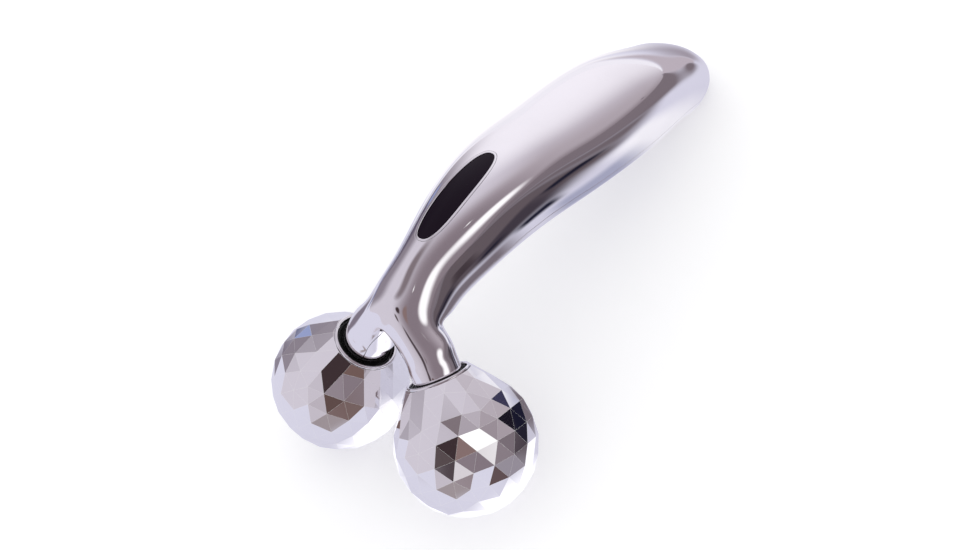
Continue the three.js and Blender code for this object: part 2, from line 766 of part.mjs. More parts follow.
// Contact leaf: a foot on the frame, bent up to the shell
function gripContact() {
  const low = frameHalfDepth + seatGap;
  const high = low + contactThickness;
  const [from, bend, end] = contactShares;
  const tip = end + padSpread();
  const top = gripHalfThickness;
  const under = top - contactThickness;
  const outline = [
    [from, low], [bend, low], [end, under], [tip, under],
    [tip, top], [end, top], [bend, high], [from, high],
  ];
  const leaf = slab(outline.map(([station, rise]) => offTrunk(station, rise)), contactWidth / 2);
  return leaf.intersect(innerBody(shellWall + seatGap));
}

// A round wire along points given as [station, rise, across]
function wireAlong(route) {
  const points = route.map(([station, rise, across]) => offTrunk(station, rise, across));
  const path = new THREE.CatmullRomCurve3(points);
  const circle = new THREE.Shape(
    Array.from({ length: wireSides }, (_, i) =>
      new THREE.Vector2(wireRadius, 0).rotateAround(new THREE.Vector2(), turnOf(i, wireSides)),
    ),
  );
  return new THREE.ExtrudeGeometry(circle, { steps: wireSteps, extrudePath: path, bevelEnabled: false });
}

const wireRise = frameHalfDepth + seatGap + wireRadius;
const besideTray = trayHalfWidth + seatGap + wireRadius;

function contactWire() {
  const besideFoot = contactWidth / 2 + seatGap + wireRadius;
  const [foot, bend] = contactShares;
  return wireAlong([
    [windowPlaceShare, wireRise, besideTray],
    [traySideShare, wireRise, besideTray],
    [foot - padSpread(), wireRise, besideFoot],
    [bend, wireRise, besideFoot],
  ]);
}

function yokeWire() {
  const hubRise = yokeHubHeight / 2 + seatGap + wireRadius;
  return wireAlong([
    [windowPlaceShare, wireRise, -besideTray],
    [frameStartShare, wireRise, -besideTray],
    [hubEndShare + padSpread(), (wireRise + hubRise) / 2, -(besideTray + tongueHalfWidth) / 2],
    [hubEndShare - padSpread(), hubRise, -tongueHalfWidth + wireRadius],
    [1, hubRise, -tongueHalfWidth + wireRadius],
  ]);
}

// Screw: head on top, a round socket in it, and the shank below
function screwBody() {
  const socketFloor = screwHeadHeight - socketDepth;
  return turnedSolid(
    [
      [0, -screwLength], [screwRadius, -screwLength], [screwRadius, 0],
      [screwHeadRadius, 0], [screwHeadRadius, screwHeadHeight],
      [socketRadius, screwHeadHeight], [socketRadius, socketFloor], [0, socketFloor],
    ],
    smallSides,
  );
}

function screwAt(station, rise, direction) {
  const along = trunkAt(station).up.multiplyScalar(direction);
  return placed(screwBody(), frameAlong(offTrunk(station, rise), along, alongX));
}

// Shells: the hollow handle, open at both arms, parted along the flanks and through the crotch
function handleWall() {
  return cut(handleBody(0), innerBody(shellWall), pastArmEnds(), underFloor());
}

function frontShell(wall) {
  return cut(wall, underParting(partingGap / 2), windowOval(bezelWidth + seatGap));
}

function backShell(wall) {
  const shell = wall.intersect(underParting(-partingGap / 2));
  const inside = innerBody(shellWall / 2);
  const posts = frameScrewShares.map((station) =>
    frameHole(station, -1, frameHalfDepth + seatGap, gripHalfThickness, postRadius).intersect(inside),
  );
  const pilots = frameScrewShares.map((station) =>
    frameHole(station, -1, 0, screwLength + frameHalfDepth - frameWall, screwRadius + screwClearance),
  );
  return cut(joined(shell, ...posts), ...pilots);
}

// Ball, in the axle's own frame: the ball's centre is the origin and the arm lies up the Z axis
function facetedBody(radius) {
  const golden = (1 + Math.sqrt(5)) / 2;
  const geometry = new THREE.IcosahedronGeometry(radius, facetFrequency - 1);
  geometry.rotateX(Math.atan(1 / golden)).rotateZ(facetTurn);
  geometry.rotateY(facetLeanSide).rotateX(facetLeanFront);
  const places = geometry.attributes.position;
  for (let i = 0; i < places.count; i++) {
    const point = new THREE.Vector3().fromBufferAttribute(places, i);
    const turn = point.angleTo(alongZ);
    if (turn >= tangentTurn) continue;
    const slant = (tangentTurn - turn) * radius * coneStretchShare;
    const outward = radius * Math.sin(tangentTurn) - slant * Math.sin(coneHalfAngle);
    const height = radius * Math.cos(tangentTurn) + slant * Math.cos(coneHalfAngle);
    const flat = new THREE.Vector2(point.x, point.y);
    if (flat.length() > skinWall * Number.EPSILON) flat.setLength(outward);
    places.setXYZ(i, flat.x, flat.y, height);
  }
  return solidOf(geometry);
}

const collarCupRadius = mouthRadius + collarWall;

function ballShell() {
  const past = new THREE.Vector3(0, 0, mouthPlane + ballRadius);
  return cut(
    facetedBody(ballRadius),
    facetedBody(ballRadius - skinWall),
    block(2 * ballRadius, 2 * ballRadius, 2 * ballRadius, past),
    rod(collarCupRadius + seatGap, collarBase - seatGap, mouthPlane + cutOverrun),
  );
}

function ballCollar() {
  const floorTop = collarBase + collarFloor;
  const floorInner = mouthRadius - collarFloorWidth;
  const foot = mouthPlane + seatGap;
  const outer = collarRadius + collarFlare;
  return turnedSolid([
    [floorInner, collarBase], [collarCupRadius, collarBase], [collarCupRadius, foot], [outer, foot],
    [outer, collarTop - collarFlare], [collarRadius, collarTop], [mouthRadius + collarFlare, collarTop],
    [mouthRadius, collarTop - collarFlare], [mouthRadius, floorTop], [floorInner, floorTop],
  ]);
}

function dustSeal() {
  const low = collarBase + collarFloor + seatGap;
  const inner = yokeNoseRadius + seatGap;
  const outer = mouthRadius - seatGap;
  return turnedSolid([
    [inner, low], [outer, low], [outer, low + sealRimHeight], [outer - sealRimWidth, low + sealRimHeight],
    [outer - 2 * sealRimWidth, low + sealThickness], [inner, low + sealThickness],
  ]);
}

const sleeveOuter = axleRadius + runningGap + sleeveWall;
const hubInner = sleeveOuter + seatGap;
const hubOuter = hubInner + hubWall;
const coreRadius = (ballRadius - skinWall) * Math.cos(Math.PI / facetFrequency ** 2) - seatGap;

// Points on a circle about the origin, from one height to another
function arc(radius, from, to) {
  const start = Math.asin(from / radius);
  const end = Math.asin(to / radius);
  return Array.from({ length: coreArcSteps + 1 }, (_, i) => {
    const angle = THREE.MathUtils.lerp(start, end, i / coreArcSteps);
    return [radius * Math.cos(angle), radius * Math.sin(angle)];
  });
}

function ballCore() {
  const inner = coreRadius - coreWall;
  const shoulder = Math.min(Math.sqrt(coreRadius ** 2 - hubOuter ** 2), collarBase - seatGap);
  const webUnder = Math.sqrt(inner ** 2 - hubOuter ** 2);
  return turnedSolid([
    [hubInner, coreTop], [hubInner, seatGap - sleeveDepth], [hubOuter, seatGap - sleeveDepth],
    ...arc(inner, webUnder, -capPlane), ...arc(coreRadius, -capPlane, shoulder), [hubOuter, coreTop],
  ], mediumSides);
}

function coreCap() {
  const inner = coreRadius - coreWall;
  const joint = -capPlane - seatGap;
  const lipOuter = Math.sqrt(inner ** 2 - capPlane ** 2) - seatGap;
  const lipInner = lipOuter - capLipWall;
  const lipFoot = -Math.sqrt(inner ** 2 - lipInner ** 2);
  return turnedSolid([
    [0, -coreRadius], ...arc(coreRadius, -coreRadius, joint).slice(1), [lipOuter, joint],
    [lipOuter, capLipHeight - capPlane], [lipInner, capLipHeight - capPlane],
    ...arc(inner, lipFoot, -inner).slice(0, -1), [0, -inner],
  ], mediumSides);
}

function bearingSleeve() {
  const bore = (axleRadius + runningGap) / Math.cos(Math.PI / roundSides);
  const flangeFoot = coreTop + seatGap;
  const top = flangeFoot + sleeveFlange;
  const flange = sleeveOuter + sleeveFlangeWidth;
  return turnedSolid([
    [bore, -sleeveDepth], [sleeveOuter, -sleeveDepth], [sleeveOuter, flangeFoot], [flange, flangeFoot],
    [flange, top], [bore, top],
  ]);
}

// Axle with its washers, clip and pin, in the same frame
const washerTop = -sleeveDepth - endPlay;
const clipTop = washerTop - washerThickness - endPlay;

function axleShaft() {
  const grooveLow = clipTop - clipThickness - runningGap;
  const grooveHigh = clipTop + runningGap;
  const waist = axleRadius - grooveDepth;
  const shaft = turnedSolid([
    [0, -axleTip], [axleRadius - axleChamfer, -axleTip], [axleRadius, axleChamfer - axleTip],
    [axleRadius, grooveLow], [waist, grooveLow], [waist, grooveHigh],
    [axleRadius, grooveHigh], [axleRadius, axleRoot - axleChamfer],
    [axleRadius - axleChamfer, axleRoot], [0, axleRoot],
  ]);
  return cut(shaft, crossRod(crossPinRadius + seatGap, armRadius));
}

const axlePin = () => crossRod(crossPinRadius, armRadius - shellWall - 2 * seatGap);

function retainingRing() {
  const inner = axleRadius - grooveDepth + runningGap;
  const outer = axleRadius + clipWidth;
  const mouth = new THREE.Vector3(outer, 0, clipTop - clipThickness / 2);
  const whole = ring(inner / Math.cos(Math.PI / roundSides), outer, clipTop - clipThickness, clipTop);
  return cut(whole, block(2 * outer, clipMouthWidth, 2 * clipThickness, mouth));
}

function washer(top) {
  const inner = (axleRadius + endPlay) / Math.cos(Math.PI / roundSides);
  return ring(inner, axleRadius + washerWidth, top - washerThickness, top);
}

const armWasherTop = coreTop + seatGap + sleeveFlange + endPlay + washerThickness;

// Assembly
const sideNames = new Map([[1, "right"], [-1, "left"]]);

function inAxleFrame(side, meshes) {
  const group = new THREE.Group();
  group.applyMatrix4(axleFrame(side));
  group.add(...meshes);
  return group;
}

function ballOf(side) {
  const name = sideNames.get(side);
  return inAxleFrame(side, [
    meshOf(`ball_shell_${name}`, geometryOf(ballShell()), chrome),
    meshOf(`ball_collar_${name}`, geometryOf(ballCollar()), chrome),
    meshOf(`dust_seal_${name}`, geometryOf(dustSeal()), blackRubber),
    meshOf(`ball_core_${name}`, geometryOf(ballCore()), whitePlastic),
    meshOf(`core_cap_${name}`, geometryOf(coreCap()), whitePlastic),
    meshOf(`bearing_sleeve_${name}`, geometryOf(bearingSleeve()), brass),
  ]);
}

function axleOf(side) {
  const name = sideNames.get(side);
  return inAxleFrame(side, [
    meshOf(`axle_${name}`, geometryOf(axleShaft()), steel),
    meshOf(`axle_pin_${name}`, geometryOf(axlePin()), steel),
    meshOf(`retaining_ring_${name}`, geometryOf(retainingRing()), steel),
    meshOf(`tip_washer_${name}`, geometryOf(washer(washerTop)), whitePlastic),
    meshOf(`arm_washer_${name}`, geometryOf(washer(armWasherTop)), whitePlastic),
  ]);
}

function handle() {
  const group = new THREE.Group();
  const wall = handleWall();
  group.add(
    meshOf("front_shell", geometryOf(frontShell(wall)), chrome),
    meshOf("back_shell", geometryOf(backShell(wall)), chrome),
    meshOf("window_bezel", geometryOf(windowBezel()), chrome),
    meshOf("window_lens", geometryOf(windowLens()), blackGloss),
    meshOf("solar_cell", geometryOf(solarCell()), cellBlue),
    meshOf("cell_tray", geometryOf(cellTray()), greyPlastic),
    meshOf("core_frame", geometryOf(coreFrame()), greyPlastic),
    meshOf("axle_yoke", geometryOf(axleYoke()), castMetal),
    meshOf("balance_weight", geometryOf(balanceWeight()), castMetal),
    meshOf("grip_contact", geometryOf(gripContact()), brass),
    meshOf("contact_wire", contactWire(), redWire),
    meshOf("yoke_wire", yokeWire(), blackWire),
  );
  frameScrewShares.forEach((station, i) => {
    const seat = frameWall + screwClearance - frameHalfDepth;
    group.add(meshOf(`frame_screw_${i + 1}`, geometryOf(screwAt(station, seat, 1)), steel));
  });
  yokeScrewStations.forEach((station, i) => {
    const seat = -tongueDrop - tongueThickness - screwClearance;
    group.add(meshOf(`yoke_screw_${i + 1}`, geometryOf(screwAt(station, seat, -1)), steel));
  });
  return group;
}

const massager = new THREE.Group();
massager.add(handle(), ...sides.flatMap((side) => [axleOf(side), ballOf(side)]));
massager.updateMatrixWorld(true);

// The origin lies under the middle of the whole, on the floor
const whole = new THREE.Box3().setFromObject(massager, true);
const middle = whole.getCenter(new THREE.Vector3());
massager.position.set(-middle.x, -middle.y, -whole.min.z);

export default massager;
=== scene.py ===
"""Looks of a face and body roller massager: chrome shells, faceted balls, a dark window and the studio."""

import json
import logging
import math
from collections.abc import Callable
from dataclasses import dataclass, field
from enum import Enum
from typing import Any

import bmesh
import bpy
import numpy as np
from mathutils import Matrix, Vector
from mathutils.bvhtree import BVHTree

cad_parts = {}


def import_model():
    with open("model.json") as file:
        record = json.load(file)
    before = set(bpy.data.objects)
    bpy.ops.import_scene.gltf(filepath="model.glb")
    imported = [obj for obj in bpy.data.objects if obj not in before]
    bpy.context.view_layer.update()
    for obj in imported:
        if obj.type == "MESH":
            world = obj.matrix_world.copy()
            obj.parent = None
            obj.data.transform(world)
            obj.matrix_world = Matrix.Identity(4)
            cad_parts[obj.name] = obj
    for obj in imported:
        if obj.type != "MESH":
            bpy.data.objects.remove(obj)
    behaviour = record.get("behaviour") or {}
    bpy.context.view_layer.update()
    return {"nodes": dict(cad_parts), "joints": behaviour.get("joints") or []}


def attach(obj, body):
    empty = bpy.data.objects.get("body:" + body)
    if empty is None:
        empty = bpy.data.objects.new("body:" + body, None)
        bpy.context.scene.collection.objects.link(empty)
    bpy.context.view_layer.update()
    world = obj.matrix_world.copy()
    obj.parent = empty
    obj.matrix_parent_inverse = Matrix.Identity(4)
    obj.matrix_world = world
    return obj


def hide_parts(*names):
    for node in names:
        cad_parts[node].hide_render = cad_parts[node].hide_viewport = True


LOG = logging.getLogger("roller")
MM = 0.001
TINY = 1e-9
Field = Callable[[np.ndarray], np.ndarray]


class Side(Enum):
    """The two arms of the fork, by the sign of X that they lean out to."""

    RIGHT = 1
    LEFT = -1

    @property
    def label(self) -> str:
        """The word that ends the names of this side's nodes."""
        return self.name.lower()


def operator(operation: str, flipped: bool = False) -> Callable[["Expression", Any], "Expression"]:
    """The method for one arithmetic operator; flipped puts the other value first."""
    turn = -1 if flipped else 1
    return lambda this, other: this.graph.math(operation, *(this, other)[::turn])


class Expression:
    """An output socket whose arithmetic adds Math nodes to its tree."""

    __add__, __radd__ = operator("ADD"), operator("ADD", True)
    __sub__, __rsub__ = operator("SUBTRACT"), operator("SUBTRACT", True)
    __mul__, __rmul__ = operator("MULTIPLY"), operator("MULTIPLY", True)
    __truediv__ = operator("DIVIDE")

    def __init__(self, graph: "Graph", socket: bpy.types.NodeSocket | None) -> None:
        """Keeps the tree that new nodes go into, and the output that this stands for."""
        self.graph = graph
        self.socket = socket

    def clamped(self) -> "Expression":
        """The value held between nought and one."""
        return self.graph.math("MINIMUM", self.graph.math("MAXIMUM", self, 0.0), 1.0)

    def smooth_step(self, low: float, high: float) -> "Expression":
        """A soft rise from nought at low to one at high."""
        settings = {"interpolation_type": "SMOOTHSTEP"}
        inputs = {"Value": self, "From Min": low, "From Max": high}
        return self.graph.add("ShaderNodeMapRange", settings, inputs, "Result")


class Graph:
    """A node tree with one method that adds any node."""

    def __init__(self, tree: bpy.types.NodeTree) -> None:
        """Starts with the tree emptied."""
        self.tree = tree
        tree.nodes.clear()

    def add(
        self,
        kind: str,
        settings: dict[str, Any] | None = None,
        inputs: dict[Any, Any] | None = None,
        output: str | int = 0,
    ) -> Expression:
        """Adds a node, sets it, and feeds its sockets.

        Args:
            kind: The node's type.
            settings: Its properties, set before its sockets.
            inputs: A value or an expression for each socket, by name or place.
            output: The output that is wanted.

        Returns:
            The wanted output as an expression.
        """
        node = self.tree.nodes.new(kind)
        for key, value in (settings or {}).items():
            setattr(node, key, value)
        for key, value in (inputs or {}).items():
            socket = node.inputs[key]
            if isinstance(value, Expression):
                self.tree.links.new(value.socket, socket)
            else:
                socket.default_value = value
        socket = node.outputs[output] if len(node.outputs) else None
        return Expression(self, socket)

    def math(self, operation: str, *values: Any) -> Expression:
        """The result of one Math node on numbers or expressions."""
        return self.add("ShaderNodeMath", {"operation": operation}, dict(enumerate(values)))

    def place(self) -> Expression:
        """The point on the object, in its own coordinates."""
        return self.add("ShaderNodeTexCoord", output="Object")

    def split(self, vector: Expression) -> tuple[Expression, Expression, Expression]:
        """The three parts of a vector."""
        node = self.tree.nodes.new("ShaderNodeSeparateXYZ")
        self.tree.links.new(vector.socket, node.inputs[0])
        return tuple(Expression(self, socket) for socket in node.outputs)

    def dot(self, vector: Expression, towards: Vector) -> Expression:
        """How far a vector reaches in a direction."""
        inputs = {0: vector, 1: tuple(towards)}
        return self.add("ShaderNodeVectorMath", {"operation": "DOT_PRODUCT"}, inputs, "Value")

    def mirrored(self) -> Expression:
        """One where a mirror or glass shows the surface, nought where it is seen straight."""
        paths = self.tree.nodes.new("ShaderNodeLightPath").outputs
        return Expression(self, paths["Is Glossy Ray"]) + Expression(self, paths["Is Transmission Ray"])

    def blend(self, share: Any, first: Any, second: Any) -> Expression:
        """A mix of two colours, with so much of the second."""
        inputs = {0: share, 6: first, 7: second}
        return self.add("ShaderNodeMix", {"data_type": "RGBA"}, inputs, 2)

    def bump(self, height: Expression, depth: float) -> Expression:
        """A normal that a height field tips, with the depth in metres of a whole step."""
        return self.add("ShaderNodeBump", None, {"Height": height, "Distance": depth})


def rgb(red: float, green: float, blue: float) -> tuple[float, float, float, float]:
    """A colour with its alpha."""
    return (red, green, blue, 1.0)


@dataclass(frozen=True)
class Pattern:
    """One layer of soft noise over an object, and the band of it that shows."""

    scale: float
    detail: float
    seed: float
    low: float | None = None
    high: float = 1.0

    def on(self, graph: Graph) -> Expression:
        """The noise, from nought to one, as it lies on the object."""
        inputs = {"Vector": graph.place(), "W": self.seed, "Scale": self.scale, "Detail": self.detail}
        noise = graph.add("ShaderNodeTexNoise", {"noise_dimensions": "4D"}, inputs, "Fac")
        return noise if self.low is None else noise.smooth_step(self.low, self.high)


@dataclass(frozen=True)
class Finish:
    """A surface finish whose principled shader is fed by the finish's own detail."""

    name: str
    colour: tuple[float, float, float]
    roughness: float
    metallic: float = 0.0

    def tone(self, share: float = 1.0) -> tuple[float, float, float, float]:
        """The finish's own colour, darkened to a share of itself."""
        return rgb(*(channel * share for channel in self.colour))

    def sockets(self, graph: Graph) -> dict[str, Any]:
        """What the shader's sockets hold, a value or an expression for each."""
        return {"Base Color": self.tone(), "Roughness": self.roughness, "Metallic": self.metallic}

    def material(self) -> bpy.types.Material:
        """The finish as a material, made once."""
        known = bpy.data.materials.get(self.name)
        if known:
            return known
        made = bpy.data.materials.new(self.name)
        made.use_nodes = True
        graph = Graph(made.node_tree)
        shader = graph.add("ShaderNodeBsdfPrincipled", None, self.sockets(graph))
        graph.add("ShaderNodeOutputMaterial", None, {"Surface": shader})
        made.diffuse_color = self.tone()
        return made


@dataclass(frozen=True)
class Chrome(Finish):
    """Bright plate: faint handling haze, hairline wear and the slow waviness of a moulded skin."""

    metallic: float = 1.0
    haze: float = 0.05
    waviness: float = 0.00001
    wave_scale: float = 55.0
    cloud: Pattern = Pattern(38.0, 4.0, 1.0, 0.45, 0.75)
    grain: Pattern = Pattern(900.0, 2.0, 2.0, 0.35, 0.8)
    wear: Pattern = Pattern(2400.0, 3.0, 5.0, 0.62, 0.72)
    grain_share: float = 0.2
    cloud_share: float = 0.5
    wear_share: float = 0.3
    tired: float = 0.93

    def sockets(self, graph: Graph) -> dict[str, Any]:
        """What the shader's sockets hold, with haze in the roughness and waves in the normal."""
        cloud = self.cloud.on(graph)
        haze = cloud * self.haze + self.grain.on(graph) * (self.haze * self.grain_share)
        worn = cloud * self.cloud_share + self.wear.on(graph) * self.wear_share
        return super().sockets(graph) | {
            "Base Color": graph.blend(worn, self.tone(), self.tone(self.tired)),
            "Roughness": self.roughness + haze,
            "Normal": graph.bump(Pattern(self.wave_scale, 1.0, 3.0).on(graph), self.waviness),
        }


@dataclass(frozen=True)
class TurnedMetal(Finish):
    """Machined or cast metal: fine tool marks in its roughness and normal, with darker stain."""

    metallic: float = 1.0
    mark_scale: float = 1800.0
    mark_depth: float = 0.00002
    mark_roughness: float = 0.18
    patches: Pattern = Pattern(160.0, 4.0, 2.0, 0.4, 0.7)
    stain: float = 0.35
    stained: float = 0.6

    def sockets(self, graph: Graph) -> dict[str, Any]:
        """What the shader's sockets hold, with marks and stain."""
        marks = Pattern(self.mark_scale, 3.0, 1.0).on(graph)
        stain = self.patches.on(graph) * self.stain
        return super().sockets(graph) | {
            "Base Color": graph.blend(stain, self.tone(), self.tone(self.stained)),
            "Roughness": self.roughness + marks * self.mark_roughness,
            "Normal": graph.bump(marks, self.mark_depth),
        }


@dataclass(frozen=True)
class Moulded(Finish):
    """Moulded plastic or rubber: a spark-eroded grain and slight mottling."""

    grain_scale: float = 2600.0
    grain_depth: float = 0.00003
    grain_roughness: float = 0.12
    clouds: Pattern = Pattern(90.0, 4.0, 2.0)
    mottle: float = 0.3
    mottled: float = 0.72

    def sockets(self, graph: Graph) -> dict[str, Any]:
        """What the shader's sockets hold, with grain and mottling."""
        grain = Pattern(self.grain_scale, 2.0, 1.0).on(graph)
        mottle = self.clouds.on(graph) * self.mottle
        return super().sockets(graph) | {
            "Base Color": graph.blend(mottle, self.tone(), self.tone(self.mottled)),
            "Roughness": self.roughness + grain * self.grain_roughness - self.grain_roughness / 2,
            "Normal": graph.bump(grain, self.grain_depth),
        }


@dataclass(frozen=True)
class DarkWindow(Finish):
    """Smoked window plastic: nearly black, glossy, with a trace of dust and a faint plum tint below."""

    specks: Pattern = Pattern(3200.0, 3.0, 1.0, 0.66, 0.74)
    clouds: Pattern = Pattern(70.0, 3.0, 2.0)
    deep: float = 0.6
    speck_share: float = 0.25
    speck_colour: tuple[float, float, float] = (0.10, 0.09, 0.10)
    speck_roughness: float = 0.12
    cloud_roughness: float = 0.05
    refraction: float = 1.2

    def sockets(self, graph: Graph) -> dict[str, Any]:
        """What the shader's sockets hold, with dust and a soft tint."""
        dust, cloud = self.specks.on(graph), self.clouds.on(graph)
        base = graph.blend(cloud, self.tone(), self.tone(self.deep))
        return super().sockets(graph) | {
            "Base Color": graph.blend(dust * self.speck_share, base, rgb(*self.speck_colour)),
            "Roughness": self.roughness + dust * self.speck_roughness + cloud * self.cloud_roughness,
            "IOR": self.refraction,
        }


@dataclass(frozen=True)
class CellFace(Finish):
    """Solar cell: dark blue wafer with thin pale fingers across it and one bus bar."""

    pitch: float = 0.0015
    finger: float = 0.00016
    clouds: Pattern = Pattern(500.0, 3.0, 1.0)
    violet: tuple[float, float, float] = (0.04, 0.03, 0.10)
    silver: tuple[float, float, float] = (0.55, 0.56, 0.58)
    violet_share: float = 0.6
    silver_roughness: float = 0.2
    silver_metal: float = 0.8

    def sockets(self, graph: Graph) -> dict[str, Any]:
        """What the shader's sockets hold, with fingers along X and a bar along Y."""
        across, along, _ = graph.split(graph.place())
        wave = graph.math("PINGPONG", along, self.pitch / 2)
        finger = 1.0 - wave.smooth_step(self.finger / 2, self.finger)
        bar = 1.0 - graph.math("ABSOLUTE", across).smooth_step(self.finger, self.finger * 1.5)
        line = (finger + bar).clamped()
        violet = self.clouds.on(graph) * self.violet_share
        silicon = graph.blend(violet, self.tone(), rgb(*self.violet))
        return {
            "Base Color": graph.blend(line, silicon, rgb(*self.silver)),
            "Roughness": self.roughness + line * self.silver_roughness,
            "Metallic": line * self.silver_metal,
        }


class Palette(Enum):
    """Every finish on the object."""

    HANDLE = Chrome("handle_plate", (0.93, 0.915, 0.93), 0.05, haze=0.04)
    BALL = Chrome("ball_plate", (0.94, 0.93, 0.94), 0.02, haze=0.02, waviness=0.000004, wave_scale=140.0)
    TRIM = Chrome("trim_plate", (0.88, 0.87, 0.88), 0.04, haze=0.03)
    WINDOW = DarkWindow("window_smoke", (0.009, 0.004, 0.011), 0.08)
    CELL = CellFace("cell_face", (0.012, 0.014, 0.05), 0.22)
    STEEL = TurnedMetal("turned_steel", (0.52, 0.53, 0.55), 0.22)
    CAST = TurnedMetal("cast_metal", (0.36, 0.37, 0.38), 0.42, mark_scale=900.0, mark_depth=0.00006)
    WEIGHT = TurnedMetal("sintered_weight", (0.2, 0.2, 0.21), 0.55, mark_scale=1400.0, mark_depth=0.00005)
    BRASS = TurnedMetal("turned_brass", (0.70, 0.49, 0.19), 0.20)
    WHITE = Moulded("white_moulding", (0.72, 0.72, 0.69), 0.46)
    GREY = Moulded("grey_moulding", (0.20, 0.21, 0.22), 0.50)
    RUBBER = Moulded("seal_rubber", (0.012, 0.012, 0.013), 0.55, grain_scale=3400.0)
    RED = Moulded("red_sleeve", (0.42, 0.03, 0.02), 0.42, mottle=0.15)
    BLACK = Moulded("black_sleeve", (0.012, 0.012, 0.013), 0.42, mottle=0.15)


NODE_FINISH = {
    "solar_cell": Palette.CELL,
    "cell_tray": Palette.GREY,
    "core_frame": Palette.GREY,
    "axle_yoke": Palette.CAST,
    "balance_weight": Palette.WEIGHT,
    "grip_contact": Palette.BRASS,
    "contact_wire": Palette.RED,
    "yoke_wire": Palette.BLACK,
    "frame_screw": Palette.STEEL,
    "yoke_screw": Palette.STEEL,
    "axle_pin": Palette.STEEL,
    "axle": Palette.STEEL,
    "retaining_ring": Palette.STEEL,
    "tip_washer": Palette.WHITE,
    "arm_washer": Palette.WHITE,
    "ball_core": Palette.WHITE,
    "core_cap": Palette.WHITE,
    "bearing_sleeve": Palette.BRASS,
}


def added(name: str, data: Any) -> bpy.types.Object:
    """An object made of some data and put into the scene."""
    made = bpy.data.objects.new(name, data)
    bpy.context.scene.collection.objects.link(made)
    return made


def unit(vectors: np.ndarray) -> np.ndarray:
    """Vectors brought to length one."""
    return vectors / np.maximum(np.linalg.norm(vectors, axis=-1, keepdims=True), TINY)


def laid_flat(vectors: np.ndarray, normals: np.ndarray) -> np.ndarray:
    """Vectors laid square to normals and brought to length one."""
    return unit(vectors - normals * (vectors * normals).sum(axis=1, keepdims=True))


def edges_of(face: tuple[int, ...]) -> list[tuple[int, int]]:
    """A face's edges, in its own turn."""
    return list(zip(face, face[1:] + face[:1]))


def band(low: list[int], high: list[int]) -> list[tuple[int, int, int, int]]:
    """The four-sided faces that join two closed rings of as many points."""
    return list(zip(low, low[1:] + low[:1], high[1:] + high[:1], high))


@dataclass(frozen=True)
class Fork:
    """Where the balls sit and how their axles lean, in millimetres from the floor under their middle."""

    ball_radius: float = 20.0
    ball_spacing: float = 47.2
    half_angle: float = math.radians(30.1)
    pitch: float = math.radians(30.25)
    arm_radius: float = 7.0
    arm_end: float = 20.3
    crotch_fillet: float = 1.85
    neck_drop: float = 5.87
    trunk_overlap: float = 12.11

    @property
    def up(self) -> np.ndarray:
        """Up the fork's middle plane."""
        return np.array([0.0, math.sin(self.pitch), math.cos(self.pitch)])

    @property
    def front(self) -> np.ndarray:
        """Square to the plane of both axles, towards the front."""
        return np.array([0.0, -math.cos(self.pitch), math.sin(self.pitch)])

    @property
    def apex_up(self) -> float:
        """How far up the fork the axles meet."""
        return self.ball_spacing / 2 / math.tan(self.half_angle)

    @property
    def crotch_up(self) -> float:
        """How far up the fork the crotch lies."""
        return self.apex_up - self.arm_radius / math.sin(self.half_angle) + self.crotch_fillet

    @property
    def neck_height(self) -> float:
        """Height of the highest point of the trunk's centre line."""
        return self.at(self.apex_up)[2] - self.neck_drop

    def at(self, up: float) -> np.ndarray:
        """A point up the fork's middle line."""
        return np.array([0.0, 0.0, self.ball_radius]) + self.up * up

    def axle(self, side: Side) -> np.ndarray:
        """The direction of one axle, from its ball to the handle."""
        return self.up * math.cos(self.half_angle) - np.array([side.value * math.sin(self.half_angle), 0, 0])

    def centre(self, side: Side) -> np.ndarray:
        """The centre of one ball."""
        return np.array([side.value * self.ball_spacing / 2, 0.0, self.ball_radius])

    def frame(self, side: Side) -> Matrix:
        """The placement of one ball, with Z along its axle and X as near as can be to the front."""
        along = self.axle(side)
        across = unit(self.front - along * self.front.dot(along))
        third = np.cross(along, across)
        placed = np.eye(4)
        placed[:3, 0], placed[:3, 1], placed[:3, 2] = across, third, along
        placed[:3, 3] = self.centre(side)
        return Matrix(placed)


@dataclass(frozen=True)
class Section:
    """One section of the trunk, in shares of its reach, height and fullest section."""

    reach: float
    height: float
    wide: float
    thick: float
    lean: float
    crown: float = 0.0


TRUNK_SHARES = (
    Section(0.0161, 0.9645, 0.68, 0.617, -0.709, 0.2),
    Section(0.0539, 0.9757, 0.61, 0.76, -0.405, 0.25),
    Section(0.1075, 0.988, 0.588, 0.8416, -0.206, 0.28),
    Section(0.1816, 1, 0.678, 0.894, 0.015, 0.22),
    Section(0.263, 0.982, 0.768, 0.951, 0.149, 0.08),
    Section(0.3453, 0.937, 0.842, 0.979, 0.25),
    Section(0.4238, 0.866, 0.898, 0.993, 0.34),
    Section(0.5001, 0.777, 0.944, 0.99, 0.385),
    Section(0.5768, 0.69, 0.983, 0.993, 0.39),
    Section(0.6532, 0.604, 1, 1, 0.395),
    Section(0.7303, 0.512, 0.983, 0.986, 0.43),
    Section(0.8032, 0.412, 0.915, 0.915, 0.487),
    Section(0.875, 0.296, 0.814, 0.817, 0.521),
    Section(0.9419, 0.178, 0.71, 0.69, 0.539),
)
TAIL_CAP_SHARE = Section(0.9884, 0.092, 0.42, 0.36, 0.539)
CROTCH_SHARES = ((-0.79, 0.13), (0.0, 0.0), (0.98, 0.16))
ARM_RING_SHARES = (0.67, 0.33, 0.0, -0.33, -0.66)
ROUND_SHARES = ((1.0, 0.0), (0.62, 0.08), (0.29, 0.29), (0.08, 0.62), (0.0, 1.0))


